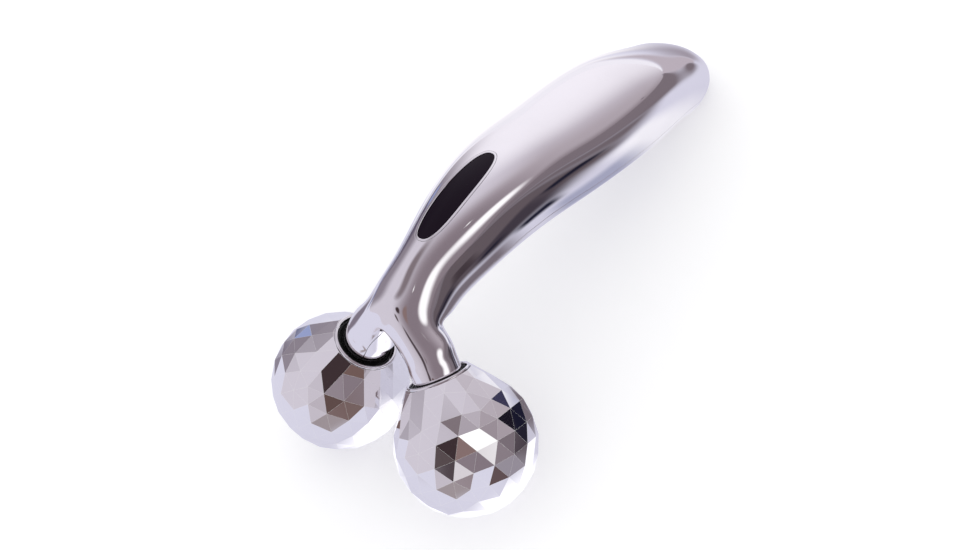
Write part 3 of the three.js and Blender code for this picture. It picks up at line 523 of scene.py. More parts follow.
@dataclass
class Skin:
    """A surface with its own smooth normals, which fields can cut and which a wall can close."""

    points: np.ndarray
    normals: np.ndarray
    faces: list[tuple[int, ...]]
    rims: list[tuple[list[tuple[int, int]], Field]] = field(default_factory=list)

    def clipped(self, distance: Field) -> "Skin":
        """The part of the skin where a field is positive, with the cut kept as a rim.

        Args:
            distance: The field, over points.

        Returns:
            The part that is kept.
        """
        values = distance(self.points)
        inside = (values >= 0).tolist()
        made: dict[tuple[int, int], int] = {}
        points: list[np.ndarray] = []
        normals: list[np.ndarray] = []
        count = len(self.points)

        def crossing(a: int, b: int) -> int:
            """The new point where an edge leaves the part that is kept."""
            key = (min(a, b), max(a, b))
            if key not in made:
                share = values[a] / (values[a] - values[b])
                made[key] = count + len(points)
                points.append(self.points[a] + (self.points[b] - self.points[a]) * share)
                normals.append(unit(self.normals[a] + (self.normals[b] - self.normals[a]) * share))
            return made[key]

        faces = []
        for face in self.faces:
            kept = [inside[i] for i in face]
            if all(kept):
                faces.append(face)
            elif any(kept):
                ring: list[int] = []
                for a, b in edges_of(face):
                    if inside[a]:
                        ring.append(a)
                    if inside[a] != inside[b]:
                        ring.append(crossing(a, b))
                faces.append(tuple(ring))
        new = set(made.values())
        owned = dict.fromkeys(e for face in faces for e in edges_of(face) if e[0] in new and e[1] in new)
        rim = [(a, b) for a, b in owned if (b, a) not in owned]
        skin = Skin(np.vstack([self.points, *points]), np.vstack([self.normals, *normals]), faces)
        skin.rims = [(skin.resplit(edges), old) for edges, old in self.rims] + [(rim, distance)]
        return skin

    def resplit(self, edges: list[tuple[int, int]]) -> list[tuple[int, int]]:
        """What is left of an older rim after a cut: its edges that are still open, and the cut ones."""
        points = {i for edge in edges for i in edge}
        known = set(edges)
        return [(a, b) for a, b in self.open_edges() if (a, b) in known or (a in points) != (b in points)]

    def open_edges(self) -> list[tuple[int, int]]:
        """The edges that only one face uses, in that face's own turn."""
        once: set[tuple[int, int]] = set()
        for face in self.faces:
            for a, b in edges_of(face):
                if (b, a) in once:
                    once.remove((b, a))
                else:
                    once.add((a, b))
        return list(once)

    def compacted(self) -> "Skin":
        """The skin without the points that no face uses."""
        used = sorted({i for face in self.faces for i in face})
        place = {old: new for new, old in enumerate(used)}
        faces = [tuple(place[i] for i in face) for face in self.faces]
        rims = [([(place[a], place[b]) for a, b in edges], f) for edges, f in self.rims]
        return Skin(self.points[used], self.normals[used], faces, rims)


def gradient(distance: Field, points: np.ndarray, step: float = 0.01) -> np.ndarray:
    """The direction in which a field grows at each point."""
    shifts = np.eye(3) * step
    return np.stack([distance(points + s) - distance(points - s) for s in shifts], axis=1) / (2 * step)


@dataclass
class Builder:
    """Gathers faces whose corners carry their own normals, and makes one mesh of them."""

    points: list[np.ndarray] = field(default_factory=list)
    faces: list[tuple[int, ...]] = field(default_factory=list)
    corner_normals: list[tuple[np.ndarray, ...]] = field(default_factory=list)

    def point(self, place: np.ndarray) -> int:
        """Adds a point and gives its number."""
        self.points.append(place)
        return len(self.points) - 1

    def face(self, corners: tuple[int, ...], normals: tuple[np.ndarray, ...] | None = None) -> None:
        """Adds a face, flat unless its corners' normals are given.

        Args:
            corners: The points, counterclockwise from outside.
            normals: One normal for each corner.
        """
        if normals is None:
            places = np.array([self.points[i] for i in corners])
            after = np.roll(places, -1, axis=0)
            flat = unit(np.cross(places, after).sum(axis=0))
            normals = (flat,) * len(corners)
        self.faces.append(corners)
        self.corner_normals.append(normals)

    def join(
        self, low: list[int], high: list[int], low_normals: Any = None, high_normals: Any = None
    ) -> None:
        """Joins two closed rings of as many points, flat unless both have normals.

        Args:
            low: The first ring.
            high: The second ring, to the left of the first as it turns.
            low_normals: One normal for each point of the first ring.
            high_normals: One normal for each point of the second ring.
        """
        for j, corners in enumerate(band(low, high)):
            n = (j + 1) % len(low)
            smooth = None
            if low_normals is not None and high_normals is not None:
                smooth = (low_normals[j], low_normals[n], high_normals[n], high_normals[j])
            self.face(corners, smooth)

    def fan(self, ring: list[int], tip: int, ring_normals: Any = None, tip_normal: Any = None) -> None:
        """Closes a ring with faces that meet at a tip, flat unless it has normals.

        Args:
            ring: The ring.
            tip: The point that they meet at.
            ring_normals: One normal for each point of the ring.
            tip_normal: The normal at the tip.
        """
        for j, (a, b) in enumerate(edges_of(tuple(ring))):
            smooth = None
            if ring_normals is not None:
                smooth = (ring_normals[j], ring_normals[(j + 1) % len(ring)], tip_normal)
            self.face((a, b, tip), smooth)

    def mesh(self, name: str, finish: Palette, place: Matrix) -> bpy.types.Object:
        """Makes the gathered faces a mesh object that sits at the origin.

        Args:
            name: The object's name.
            finish: Its finish.
            place: Takes the gathered places, in millimetres, to the frame in metres.

        Returns:
            The object.
        """
        data = bpy.data.meshes.new(name)
        data.from_pydata([tuple(p) for p in self.points], [], self.faces)
        data.polygons.foreach_set("use_smooth", [True] * len(self.faces))
        loops = [tuple(n) for corners in self.corner_normals for n in corners]
        data.normals_split_custom_set(loops)
        data.transform(place)
        data.materials.append(finish.value.material())
        return added(name, data)


@dataclass
class HandleForm:
    """The smooth surface of the whole handle, from a fitted net of four-sided faces."""

    fork: Fork = field(default_factory=Fork)
    tail_reach: float = 150.22
    half_width: float = 17.3
    half_thickness: float = 14.0
    section_power: float = 2.5
    section_sides: int = 12
    arm_sides: int = 10
    fit_rounds: int = 14
    levels: int = 4
    points: list[np.ndarray] = field(default_factory=list)
    faces: list[tuple[int, ...]] = field(default_factory=list)

    @property
    def trunk_start(self) -> float:
        """Where the trunk's reach starts, along Y."""
        return self.fork.at(self.fork.apex_up - self.fork.trunk_overlap)[1]

    def reach(self, share: float) -> float:
        """A place along Y, as a share of the way from the fork to the tail."""
        return self.trunk_start + (self.tail_reach - self.trunk_start) * share

    def section_point(self, section: Section, turn: float) -> np.ndarray:
        """A point on one section, at a turn from its right-hand side."""
        across, through = math.cos(turn), math.sin(turn)
        power = 2 / self.section_power
        swell = math.copysign(abs(through) ** power, through) * self.half_thickness * section.thick
        wide = 0.0 if abs(across) < TINY else math.copysign(abs(across) ** power, across)
        narrowing = 1 - section.crown * max(through, 0)
        return np.array([
            wide * self.half_width * section.wide * narrowing,
            self.reach(section.reach) + swell * math.sin(section.lean),
            self.fork.neck_height * section.height + swell * math.cos(section.lean),
        ])

    def add(self, point: np.ndarray) -> int:
        """Adds a point to the net and gives its number."""
        self.points.append(point)
        return len(self.points) - 1

    def ring(self, section: Section, sides: int) -> list[int]:
        """Adds one ring of points round a section."""
        return [self.add(self.section_point(section, 2 * math.pi * k / sides)) for k in range(sides)]

    def trunk(self) -> list[list[int]]:
        """Adds the trunk's rings and faces."""
        rings = [self.ring(section, self.section_sides) for section in TRUNK_SHARES]
        for low, high in zip(rings, rings[1:]):
            self.faces += band(low, high)
        return rings

    def tail(self, last: list[int]) -> None:
        """Closes the tail with nine faces round four inner points."""
        inner = self.ring(TAIL_CAP_SHARE, 4)
        quarter = self.section_sides // 4
        for i, centre in enumerate(inner):
            at = [last[(i * quarter + step) % self.section_sides] for step in (-1, 0, 1, 2)]
            self.faces.append((at[0], at[1], at[2], centre))
            self.faces.append((at[2], at[3], inner[(i + 1) % 4], centre))
        self.faces.append(tuple(inner))

    def arm(self, side: Side, first: list[int]) -> None:
        """Adds one arm below the half ring and seam that it hangs from."""
        fork = self.fork
        lean = np.array([side.value * math.cos(fork.half_angle), 0.0, 0.0])
        out = fork.up * math.sin(fork.half_angle) + lean
        crotch_along = fork.crotch_up / math.cos(fork.half_angle)
        step = 2 * math.pi / self.arm_sides
        above = first
        for share in ARM_RING_SHARES:
            height = fork.arm_end + (crotch_along - fork.arm_end) * share
            centre = fork.centre(side) + fork.axle(side) * height
            turns = [side.value * (self.section_sides / 4 - j) * step for j in range(self.arm_sides)]
            spokes = [out * math.cos(turn) + fork.front * math.sin(turn) for turn in turns]
            below = [self.add(centre + spoke * fork.arm_radius) for spoke in spokes]
            self.faces += band(above, below)
            above = below
        last = self.arm_sides - 1
        for j in range(self.arm_sides // 2 - 1):
            self.faces.append((above[j], above[j + 1], above[last - 1 - j], above[last - j]))

    def net(self) -> None:
        """Builds the whole net."""
        rings = self.trunk()
        self.tail(rings[-1])
        foot = self.fork.at(self.fork.crotch_up)
        radius = self.fork.arm_radius
        front, up = self.fork.front * radius, self.fork.up * radius
        seam = [self.add(foot + front * a + up * b) for a, b in CROTCH_SHARES]
        top = self.section_sides // 4
        half = range(self.section_sides // 2 + 1)
        right = [rings[0][(top - j) % self.section_sides] for j in half]
        left = [rings[0][(-top - j) % self.section_sides] for j in half]
        self.arm(Side.RIGHT, right + seam)
        self.arm(Side.LEFT, left + seam[::-1])

    def fit(self) -> np.ndarray:
        """Moves the net's points until its smooth limit passes through where they stood."""
        wanted = np.array(self.points)
        count = len(wanted)
        edges = np.zeros((count, count))
        across = np.zeros((count, count))
        for face in self.faces:
            for i, point in enumerate(face):
                edges[point, face[(i + 1) % 4]] = 1
                edges[point, face[(i + 3) % 4]] = 1
                across[point, face[(i + 2) % 4]] += 1
        valence = across.sum(axis=1, keepdims=True)
        points = wanted.copy()
        for _ in range(self.fit_rounds):
            near = points * valence**2 + 4 * edges @ points + across @ points
            limit = near / (valence * (valence + 5))
            points += wanted - limit
        return points

    def skin(self) -> Skin:
        """The net's smooth limit as a skin."""
        self.net()
        data = bpy.data.meshes.new("handle_net")
        data.from_pydata([tuple(p) for p in self.fit()], [], [face[::-1] for face in self.faces])
        net = added("handle_net", data)
        smooth = net.modifiers.new("smooth", "SUBSURF")
        smooth.levels = smooth.render_levels = self.levels
        smooth.use_limit_surface = True
        graph = bpy.context.evaluated_depsgraph_get()
        fine = bpy.data.meshes.new_from_object(net.evaluated_get(graph))
        points = np.array([v.co for v in fine.vertices], float)
        normals = np.array([n.vector for n in fine.vertex_normals], float)
        faces = [tuple(p.vertices) for p in fine.polygons]
        bpy.data.objects.remove(net)
        bpy.data.meshes.remove(fine)
        bpy.data.meshes.remove(data)
        points[:, 2] = np.maximum(points[:, 2], 0.0)
        return Skin(points, unit(normals), faces)

    def section_at(self, station: float) -> tuple[np.ndarray, np.ndarray, float]:
        """The trunk's centre, upward normal and half thickness at a station."""
        low = min(int(station), len(TRUNK_SHARES) - 2)
        a, b, share = TRUNK_SHARES[low], TRUNK_SHARES[low + 1], station - low
        lean = a.lean + (b.lean - a.lean) * share
        height = a.height + (b.height - a.height) * share
        reach = self.reach(a.reach + (b.reach - a.reach) * share)
        centre = np.array([0.0, reach, self.fork.neck_height * height])
        thick = self.half_thickness * (a.thick + (b.thick - a.thick) * share)
        return centre, np.array([0.0, math.sin(lean), math.cos(lean)]), thick


@dataclass
class Parting:
    """The surface that parts the front shell from the back shell, as a field over points."""

    form: HandleForm
    crotch_share: float = 0.857
    flank_share: float = 0.45
    blend_share: float = 0.8
    fork_path_shares: tuple[float, ...] = (0.0, 0.4, 0.6, 0.8, 1.0)
    beyond: float = 18.0
    step: float = 10.62

    def __post_init__(self) -> None:
        """Lays out the path that the surface follows from the balls to past the tail."""
        fork = self.form.fork
        lean = math.atan2(fork.front[1], fork.front[2])
        ups = [fork.crotch_up * share for share in self.fork_path_shares]
        rows = [(up, *fork.at(up)[1:], lean, fork.arm_radius) for up in ups]
        for i, section in enumerate(TRUNK_SHARES):
            centre, _, thick = self.form.section_at(i)
            up = fork.crotch_up + i * self.step
            rows.append((up, centre[1], centre[2], section.lean, max(fork.arm_radius, thick)))
        up, y, z, lean, thick = rows[-1]
        rows.append((up, y + math.cos(lean) * self.beyond, z - math.sin(lean) * self.beyond, lean, thick))
        self.rows = np.array(rows)

    def rise(self, points: np.ndarray) -> np.ndarray:
        """How far each point lies above the parting surface, along the trunk's own upward normal.

        Args:
            points: The points, in millimetres.

        Returns:
            The signed rise of each.
        """
        fork = self.form.fork
        up, y, z, lean, thick = self.rows.T
        dy = points[:, 1:2] - y
        dz = points[:, 2:3] - z
        ahead = dy * np.cos(lean) - dz * np.sin(lean)
        over = dy * np.sin(lean) + dz * np.cos(lean)
        between = (ahead[:, :-1] >= 0) & (ahead[:, 1:] < 0)
        nearness = np.where(between, -np.abs(over[:, :-1]) - np.abs(over[:, 1:]), -np.inf)
        low = nearness.argmax(axis=1)
        none = ~between.any(axis=1)
        low[none & (ahead[:, -1] >= 0)] = len(up) - 2
        row = np.arange(len(points))
        span = ahead[row, low] - ahead[row, low + 1]
        share = np.clip(ahead[row, low] / np.where(np.abs(span) < TINY, 1, span), 0, 1)

        def mixed(values: np.ndarray) -> np.ndarray:
            """A path value at each point's own place along the path."""
            return values[low] + (values[low + 1] - values[low]) * share

        height = over[row, low] + (over[row, low + 1] - over[row, low]) * share
        arm_at = np.maximum(0, fork.ball_spacing / 2 - mixed(up) * math.tan(fork.half_angle))
        outward = (np.abs(points[:, 0]) - arm_at) / fork.arm_radius
        t = np.clip((outward + self.blend_share) / (2 * self.blend_share), 0, 1)
        blend = t * t * (3 - 2 * t)
        inward = fork.arm_radius * self.crotch_share
        return height - (inward + (-self.flank_share * mixed(thick) - inward) * blend)


@dataclass
class Window:
    """The oval window: its place on the trunk and its outline."""

    form: HandleForm
    length: float = 33.0
    width: float = 8.2
    station: float = 3.8
    tilt: float = math.radians(4)
    power: float = 2.5

    def __post_init__(self) -> None:
        """Works out the window's own frame on the handle."""
        centre, up, thick = self.form.section_at(self.station)
        self.origin = centre + up * thick
        self.along = np.array([0.0, math.cos(self.tilt), -math.sin(self.tilt)])
        self.out = np.array([0.0, math.sin(self.tilt), math.cos(self.tilt)])

    def clear(self, grow: float) -> Field:
        """A field that is positive outside the oval, grown by a margin, and all over the back."""

        def distance(points: np.ndarray) -> np.ndarray:
            """How far outside the grown oval each point is."""
            local = points - self.origin
            x = np.abs(local[:, 0]) / (self.width / 2 + grow)
            y = np.abs(local @ self.along) / (self.length / 2 + grow)
            size = (x**self.power + y**self.power) ** (1 / self.power)
            behind = local @ self.out < -self.form.half_thickness / 2
            return np.where(behind, 1.0, size - 1) * self.width / 2

        return distance

    def oval(self, grow: float, sides: int, scale: float = 1.0) -> np.ndarray:
        """Points round the grown and scaled oval, on the window's own plane."""
        turns = np.arange(sides) * 2 * math.pi / sides

        def swell(values: np.ndarray) -> np.ndarray:
            """Pushes a circle's coordinate out towards a fuller oval."""
            return np.sign(values) * np.abs(values) ** (2 / self.power)

        x = swell(np.cos(turns)) * (self.width / 2 + grow) * scale
        y = swell(np.sin(turns)) * (self.length / 2 + grow) * scale
        return self.origin + np.outer(x, [1.0, 0, 0]) + np.outer(y, self.along)


class Surface:
    """A skin that straight lines can be dropped on."""

    start_height = 20.0
    closeness = 1e-6

    def __init__(self, skin: Skin) -> None:
        """Keeps the skin in a search tree."""
        self.skin = skin
        self.tree = BVHTree.FromPolygons([tuple(p) for p in skin.points], skin.faces)

    def below(self, points: np.ndarray, out: np.ndarray) -> tuple[np.ndarray, np.ndarray]:
        """Where lines that run in against a direction meet the skin.

        Args:
            points: Where the lines start.
            out: The direction that they run against.

        Returns:
            The places and the skin's smooth normals there.
        """
        places, normals = [], []
        for start in points:
            hit, _, index, _ = self.tree.ray_cast(Vector(start + out * self.start_height), Vector(-out))
            corners = list(self.skin.faces[index])
            away = np.linalg.norm(self.skin.points[corners] - np.array(hit), axis=1)
            near = 1 / (away**2 + self.closeness)
            normals.append(unit((self.skin.normals[corners] * near[:, None]).sum(axis=0)))
            places.append(np.array(hit))
        return np.array(places), np.array(normals)


@dataclass
class Shell:
    """One shell of the handle: a piece of the skin with rounded lips, an inner wall and closed rims."""

    name: str
    skin: Skin
    wall: float = 1.7
    lip: float = 0.1
    lip_steps: int = 3

    def build(self, finish: Palette, place: Matrix) -> bpy.types.Object:
        """Closes the skin with its lips and inner wall.

        Args:
            finish: The shell's finish.
            place: Takes millimetres to the frame.

        Returns:
            The shell's object.
        """
        skin = self.skin.compacted()
        made = Builder()
        made.points = list(skin.points)
        count = len(skin.points)
        made.points.extend(skin.points - skin.normals * self.wall)
        for face in skin.faces:
            made.face(face, tuple(skin.normals[i] for i in face))
            back = face[::-1]
            made.face(tuple(i + count for i in back), tuple(-skin.normals[i] for i in back))
        open_edges = set(skin.open_edges())
        lipped: set[tuple[int, int]] = set()
        for edges, distance in skin.rims:
            edges = [edge for edge in edges if edge in open_edges and edge not in lipped]
            lipped.update(edges)
            self.add_lip(made, skin, edges, distance, count)
        for a, b in open_edges - lipped:
            made.face((b, a, a + count, b + count))
        return made.mesh(self.name, finish, place)

    def add_lip(
        self, made: Builder, skin: Skin, edges: list[tuple[int, int]], distance: Field, count: int
    ) -> None:
        """Rounds one rim over and takes it down to the inner wall.

        Args:
            made: Where the faces go.
            skin: The skin.
            edges: The rim's edges.
            distance: The field that cut it.
            count: How far the inner wall's points are numbered past the outer ones.
        """
        rim = sorted({i for edge in edges for i in edge})
        if not rim:
            return
        normals = skin.normals[rim]
        outward = laid_flat(-gradient(distance, skin.points[rim]), normals)
        rings: dict[int, list[int]] = {}
        turned: dict[int, list[np.ndarray]] = {}
        for k, i in enumerate(rim):
            rings[i] = [i]
            turned[i] = [normals[k]]
            for step in range(1, self.lip_steps + 1):
                turn = step / self.lip_steps * math.pi / 2
                sideways = outward[k] * math.sin(turn) * self.lip
                place = skin.points[i] + sideways - normals[k] * (1 - math.cos(turn)) * self.lip
                rings[i].append(made.point(place))
                turned[i].append(normals[k] * math.cos(turn) + outward[k] * math.sin(turn))
            rings[i].append(i + count)
        for a, b in edges:
            for step in range(self.lip_steps):
                corners = (rings[b][step], rings[a][step], rings[a][step + 1], rings[b][step + 1])
                smooth = (turned[b][step], turned[a][step], turned[a][step + 1], turned[b][step + 1])
                made.face(corners, smooth)
            made.face((rings[b][-2], rings[a][-2], rings[a][-1], rings[b][-1]))
        starts = {a for a, _ in edges} - {b for _, b in edges}
        ends = {b for _, b in edges} - {a for a, _ in edges}
        for i in starts:
            made.face(tuple(rings[i]))
        for i in ends:
            made.face(tuple(rings[i][::-1]))


@dataclass
class Handle:
    """The chrome handle: both shells with their seam, the window's bezel and its lens."""

    place: Matrix
    form: HandleForm = field(default_factory=HandleForm)
    seam_gap: float = 0.10
    bezel_width: float = 0.7
    bezel_gap: float = 0.05
    bezel_depth: float = 2.2
    bezel_round: float = 0.16
    bezel_corner: float = 0.3
    lens_recess: float = 0.27
    lens_thickness: float = 1.2
    lens_gap: float = 0.06
    lens_steps: int = 12
    ledge_width: float = 0.8
    sides: int = 160

    def __post_init__(self) -> None:
        """Makes the smooth skin and finds the window's place on it."""
        self.whole = self.form.skin()
        self.surface = Surface(self.whole)
        self.window = Window(self.form)

    def build(self) -> dict[str, bpy.types.Object]:
        """Builds every visible piece of the handle.

        Returns:
            The piece that stands for each node.
        """
        parting = Parting(self.form)
        skin = self.whole.clipped(self.past_arm_ends)
        skin.rims.clear()
        margin = self.seam_gap / 2 + Shell.lip
        hole = self.bezel_width + self.bezel_gap + Shell.lip
        front = skin.clipped(lambda p: parting.rise(p) - margin).clipped(self.window.clear(hole))
        back = skin.clipped(lambda p: -margin - parting.rise(p))
        return {
            "front_shell": Shell("front_shell_plate", front).build(Palette.HANDLE, self.place),
            "back_shell": Shell("back_shell_plate", back).build(Palette.HANDLE, self.place),
            "window_bezel": self.bezel(),
            "window_lens": self.lens(),
        }

    def past_arm_ends(self, points: np.ndarray) -> np.ndarray:
        """How far each point lies up the arm from its cut end."""
        fork = self.form.fork
        return np.minimum(*((points - fork.centre(s)) @ fork.axle(s) - fork.arm_end for s in Side))

    def dropped(self, margin: float, scale: float = 1.0) -> tuple[np.ndarray, np.ndarray, np.ndarray]:
        """A ring round the window, as it lies on the skin.

        Args:
            margin: How far outside the oval it runs.
            scale: What it is shrunk to.

        Returns:
            The places, the skin's normals there, and the ways along the skin to the window's middle.
        """
        oval = self.window.oval(margin, self.sides, scale)
        places, normals = self.surface.below(oval, self.window.out)
        return places, normals, laid_flat(self.window.origin - places, normals)

    def bezel(self) -> bpy.types.Object:
        """The bright bezel with its ledge under the lens.

        Each corner of its profile has a margin from the oval, a depth, and the turn of its normal from
        straight out towards the window's middle, or None where the corner is sharp.

        Returns:
            The bezel's object.
        """
        outer, small = self.bezel_width, self.bezel_round / 2
        corner = small * self.bezel_corner
        ledge = self.lens_recess + self.lens_thickness + self.lens_gap
        profile = [
            (outer, self.bezel_depth, None),
            (outer, small, -math.pi / 2),
            (outer - corner, corner, -math.pi / 4),
            (outer - small, 0.0, 0.0),
        ]
        for i, (inward, down) in enumerate(ROUND_SHARES):
            profile.append((self.bezel_round * inward, self.bezel_round * down, i * math.pi / 8))
        profile.append((0.0, ledge, None))
        profile.append((-self.ledge_width, ledge, None))
        profile.append((-self.ledge_width, self.bezel_depth, None))
        made = Builder()
        rings, lit = [], []
        for margin, depth, lean in profile:
            places, normals, inward = self.dropped(margin)
            rings.append([made.point(p) for p in places - normals * depth])
            lit.append(None if lean is None else normals * math.cos(lean) + inward * math.sin(lean))
        for k in range(len(profile)):
            made.join(rings[k - 1], rings[k], lit[k - 1], lit[k])
        return made.mesh("window_bezel_ring", Palette.TRIM, self.place)

    def lens(self) -> bpy.types.Object:
        """The dark lens, which follows the handle's curve.

        Returns:
            The lens's object.
        """
        made = Builder()
        edge, corner = -self.lens_gap, self.bezel_round
        bottom = self.lens_recess + self.lens_thickness
        rings, lit = [], []
        for share, drop in ROUND_SHARES[::-1]:
            places, normals, inward = self.dropped(edge - corner * share)
            lean = math.asin(drop)
            rings.append([made.point(p) for p in places - normals * (self.lens_recess + corner * drop)])
            lit.append(unit(normals * math.cos(lean) - inward * math.sin(lean)))
        for step in range(1, self.lens_steps):
            places, normals, _ = self.dropped(edge - corner, 1 - step / self.lens_steps)
            rings.append([made.point(p) for p in places - normals * self.lens_recess])
            lit.append(normals)
        for k in range(1, len(rings)):
            made.join(rings[k - 1], rings[k], lit[k - 1], lit[k])
        (middle,), (upward,) = self.surface.below(np.array([self.window.origin]), self.window.out)
        made.fan(rings[-1], made.point(middle - upward * self.lens_recess), lit[-1], upward)
        places, normals, _ = self.dropped(edge)
        under = [made.point(p) for p in places - normals * bottom]
        made.join(under, rings[0])
        made.fan(under[::-1], made.point(middle - upward * bottom))
        return made.mesh("window_lens_smoke", Palette.WINDOW, self.place)


def hang(piece: bpy.types.Object, body: str, node: str) -> None:
    """Hangs a piece on a body, in place of a node.

    Args:
        piece: The piece.
        body: The body that it moves with.
        node: The node that it stands for.
    """
    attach(piece, body)
    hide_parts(node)
    LOG.info("%s rides on %s", piece.name, body)


class FacetTree:
    """The node tree that makes one hollow faceted ball, Z up its axle, from its sizes."""

    sizes = ("Radius", "Wall", "Cone Half Angle", "Stretch", "Mouth Height", "Mouth Radius", "Cup Depth")
    mouth_sides = 96
    block_share = 3.0

    def __init__(self) -> None:
        """Builds the tree with its named inputs."""
        self.tree = bpy.data.node_groups.new("faceted_ball", "GeometryNodeTree")
        self.socket("Geometry", "Geometry")
        for name in self.sizes:
            self.socket(name, "Float")
        self.socket("Turn", "Vector")
        self.socket("Finish", "Material")
        self.socket("Geometry", "Geometry", "OUTPUT")
        self.graph = Graph(self.tree)
        self.given = self.tree.nodes.new("NodeGroupInput")
        outer = self.body(self.value("Radius"))
        inner = self.body(self.value("Radius") - self.value("Wall"))
        cut = self.tree.nodes.new("GeometryNodeMeshBoolean")
        cut.operation = "DIFFERENCE"
        cut.solver = "EXACT"
        self.tree.links.new(outer.socket, cut.inputs["Mesh 1"])
        for cutter in (inner, self.mouth(), self.above()):
            self.tree.links.new(cutter.socket, cut.inputs["Mesh 2"])
        solid = Expression(self.graph, cut.outputs["Mesh"])
        real = self.graph.add("GeometryNodeRealizeInstances", None, {"Geometry": solid})
        inputs = {"Geometry": real, "Material": self.value("Finish")}
        dressed = self.graph.add("GeometryNodeSetMaterial", None, inputs)
        self.graph.add("NodeGroupOutput", None, {"Geometry": dressed})

    def socket(self, name: str, kind: str, way: str = "INPUT") -> None:
        """Adds one named input or output to the tree."""
        self.tree.interface.new_socket(name, in_out=way, socket_type=f"NodeSocket{kind}")

    def value(self, name: str) -> Expression:
        """One of the tree's inputs."""
        return Expression(self.graph, self.given.outputs[name])

    def body(self, radius: Expression) -> Expression:
        """A faceted ball whose top is drawn out along a cone.

        Args:
            radius: Its radius.

        Returns:
            Its mesh.
        """
        graph = self.graph
        fine = self.value("Geometry")
        inputs = {"Vector": graph.add("GeometryNodeInputPosition"), "Rotation": self.value("Turn")}
        turned = graph.add("ShaderNodeVectorRotate", {"rotation_type": "EULER_XYZ"}, inputs)
        spoke = graph.add("ShaderNodeVectorMath", {"operation": "NORMALIZE"}, {0: turned})
        x, y, z = graph.split(spoke)
        lean = graph.math("ARCCOSINE", z)
        half = self.value("Cone Half Angle")
        tangent = math.pi / 2 - half
        slant = (tangent - lean) * radius * self.value("Stretch")
        outward = radius * graph.math("SINE", tangent) - slant * graph.math("SINE", half)
        height = radius * graph.math("COSINE", tangent) + slant * graph.math("COSINE", half)
        spread = outward / graph.math("SQRT", x * x + y * y)
        on_cone = graph.math("LESS_THAN", lean, tangent)
        reach = radius + on_cone * (spread - radius)
        rise = z * radius + on_cone * (height - z * radius)
        place = graph.add("ShaderNodeCombineXYZ", None, {"X": x * reach, "Y": y * reach, "Z": rise})
        return graph.add("GeometryNodeSetPosition", None, {"Geometry": fine, "Position": place})

    def lifted(self, solid: Expression, height: Expression) -> Expression:
        """A solid moved up the axle."""
        shift = self.graph.add("ShaderNodeCombineXYZ", None, {"Z": height})
        inputs = {"Geometry": solid, "Translation": shift}
        return self.graph.add("GeometryNodeTransform", None, inputs)

    def mouth(self) -> Expression:
        """The round cutter of the mouth, from the cup's floor up."""
        depth = self.value("Cup Depth")
        tall = self.value("Radius") + depth
        inputs = {"Vertices": self.mouth_sides, "Radius": self.value("Mouth Radius"), "Depth": tall}
        rod = self.graph.add("GeometryNodeMeshCylinder", None, inputs)
        return self.lifted(rod, self.value("Mouth Height") - depth + tall * 0.5)

    def above(self) -> Expression:
        """The block that takes off all above the mouth."""
        wide = self.value("Radius") * self.block_share
        size = self.graph.add("ShaderNodeCombineXYZ", None, {"X": wide, "Y": wide, "Z": wide})
        block = self.graph.add("GeometryNodeMeshCube", None, {"Size": size})
        return self.lifted(block, self.value("Mouth Height") + wide * 0.5)


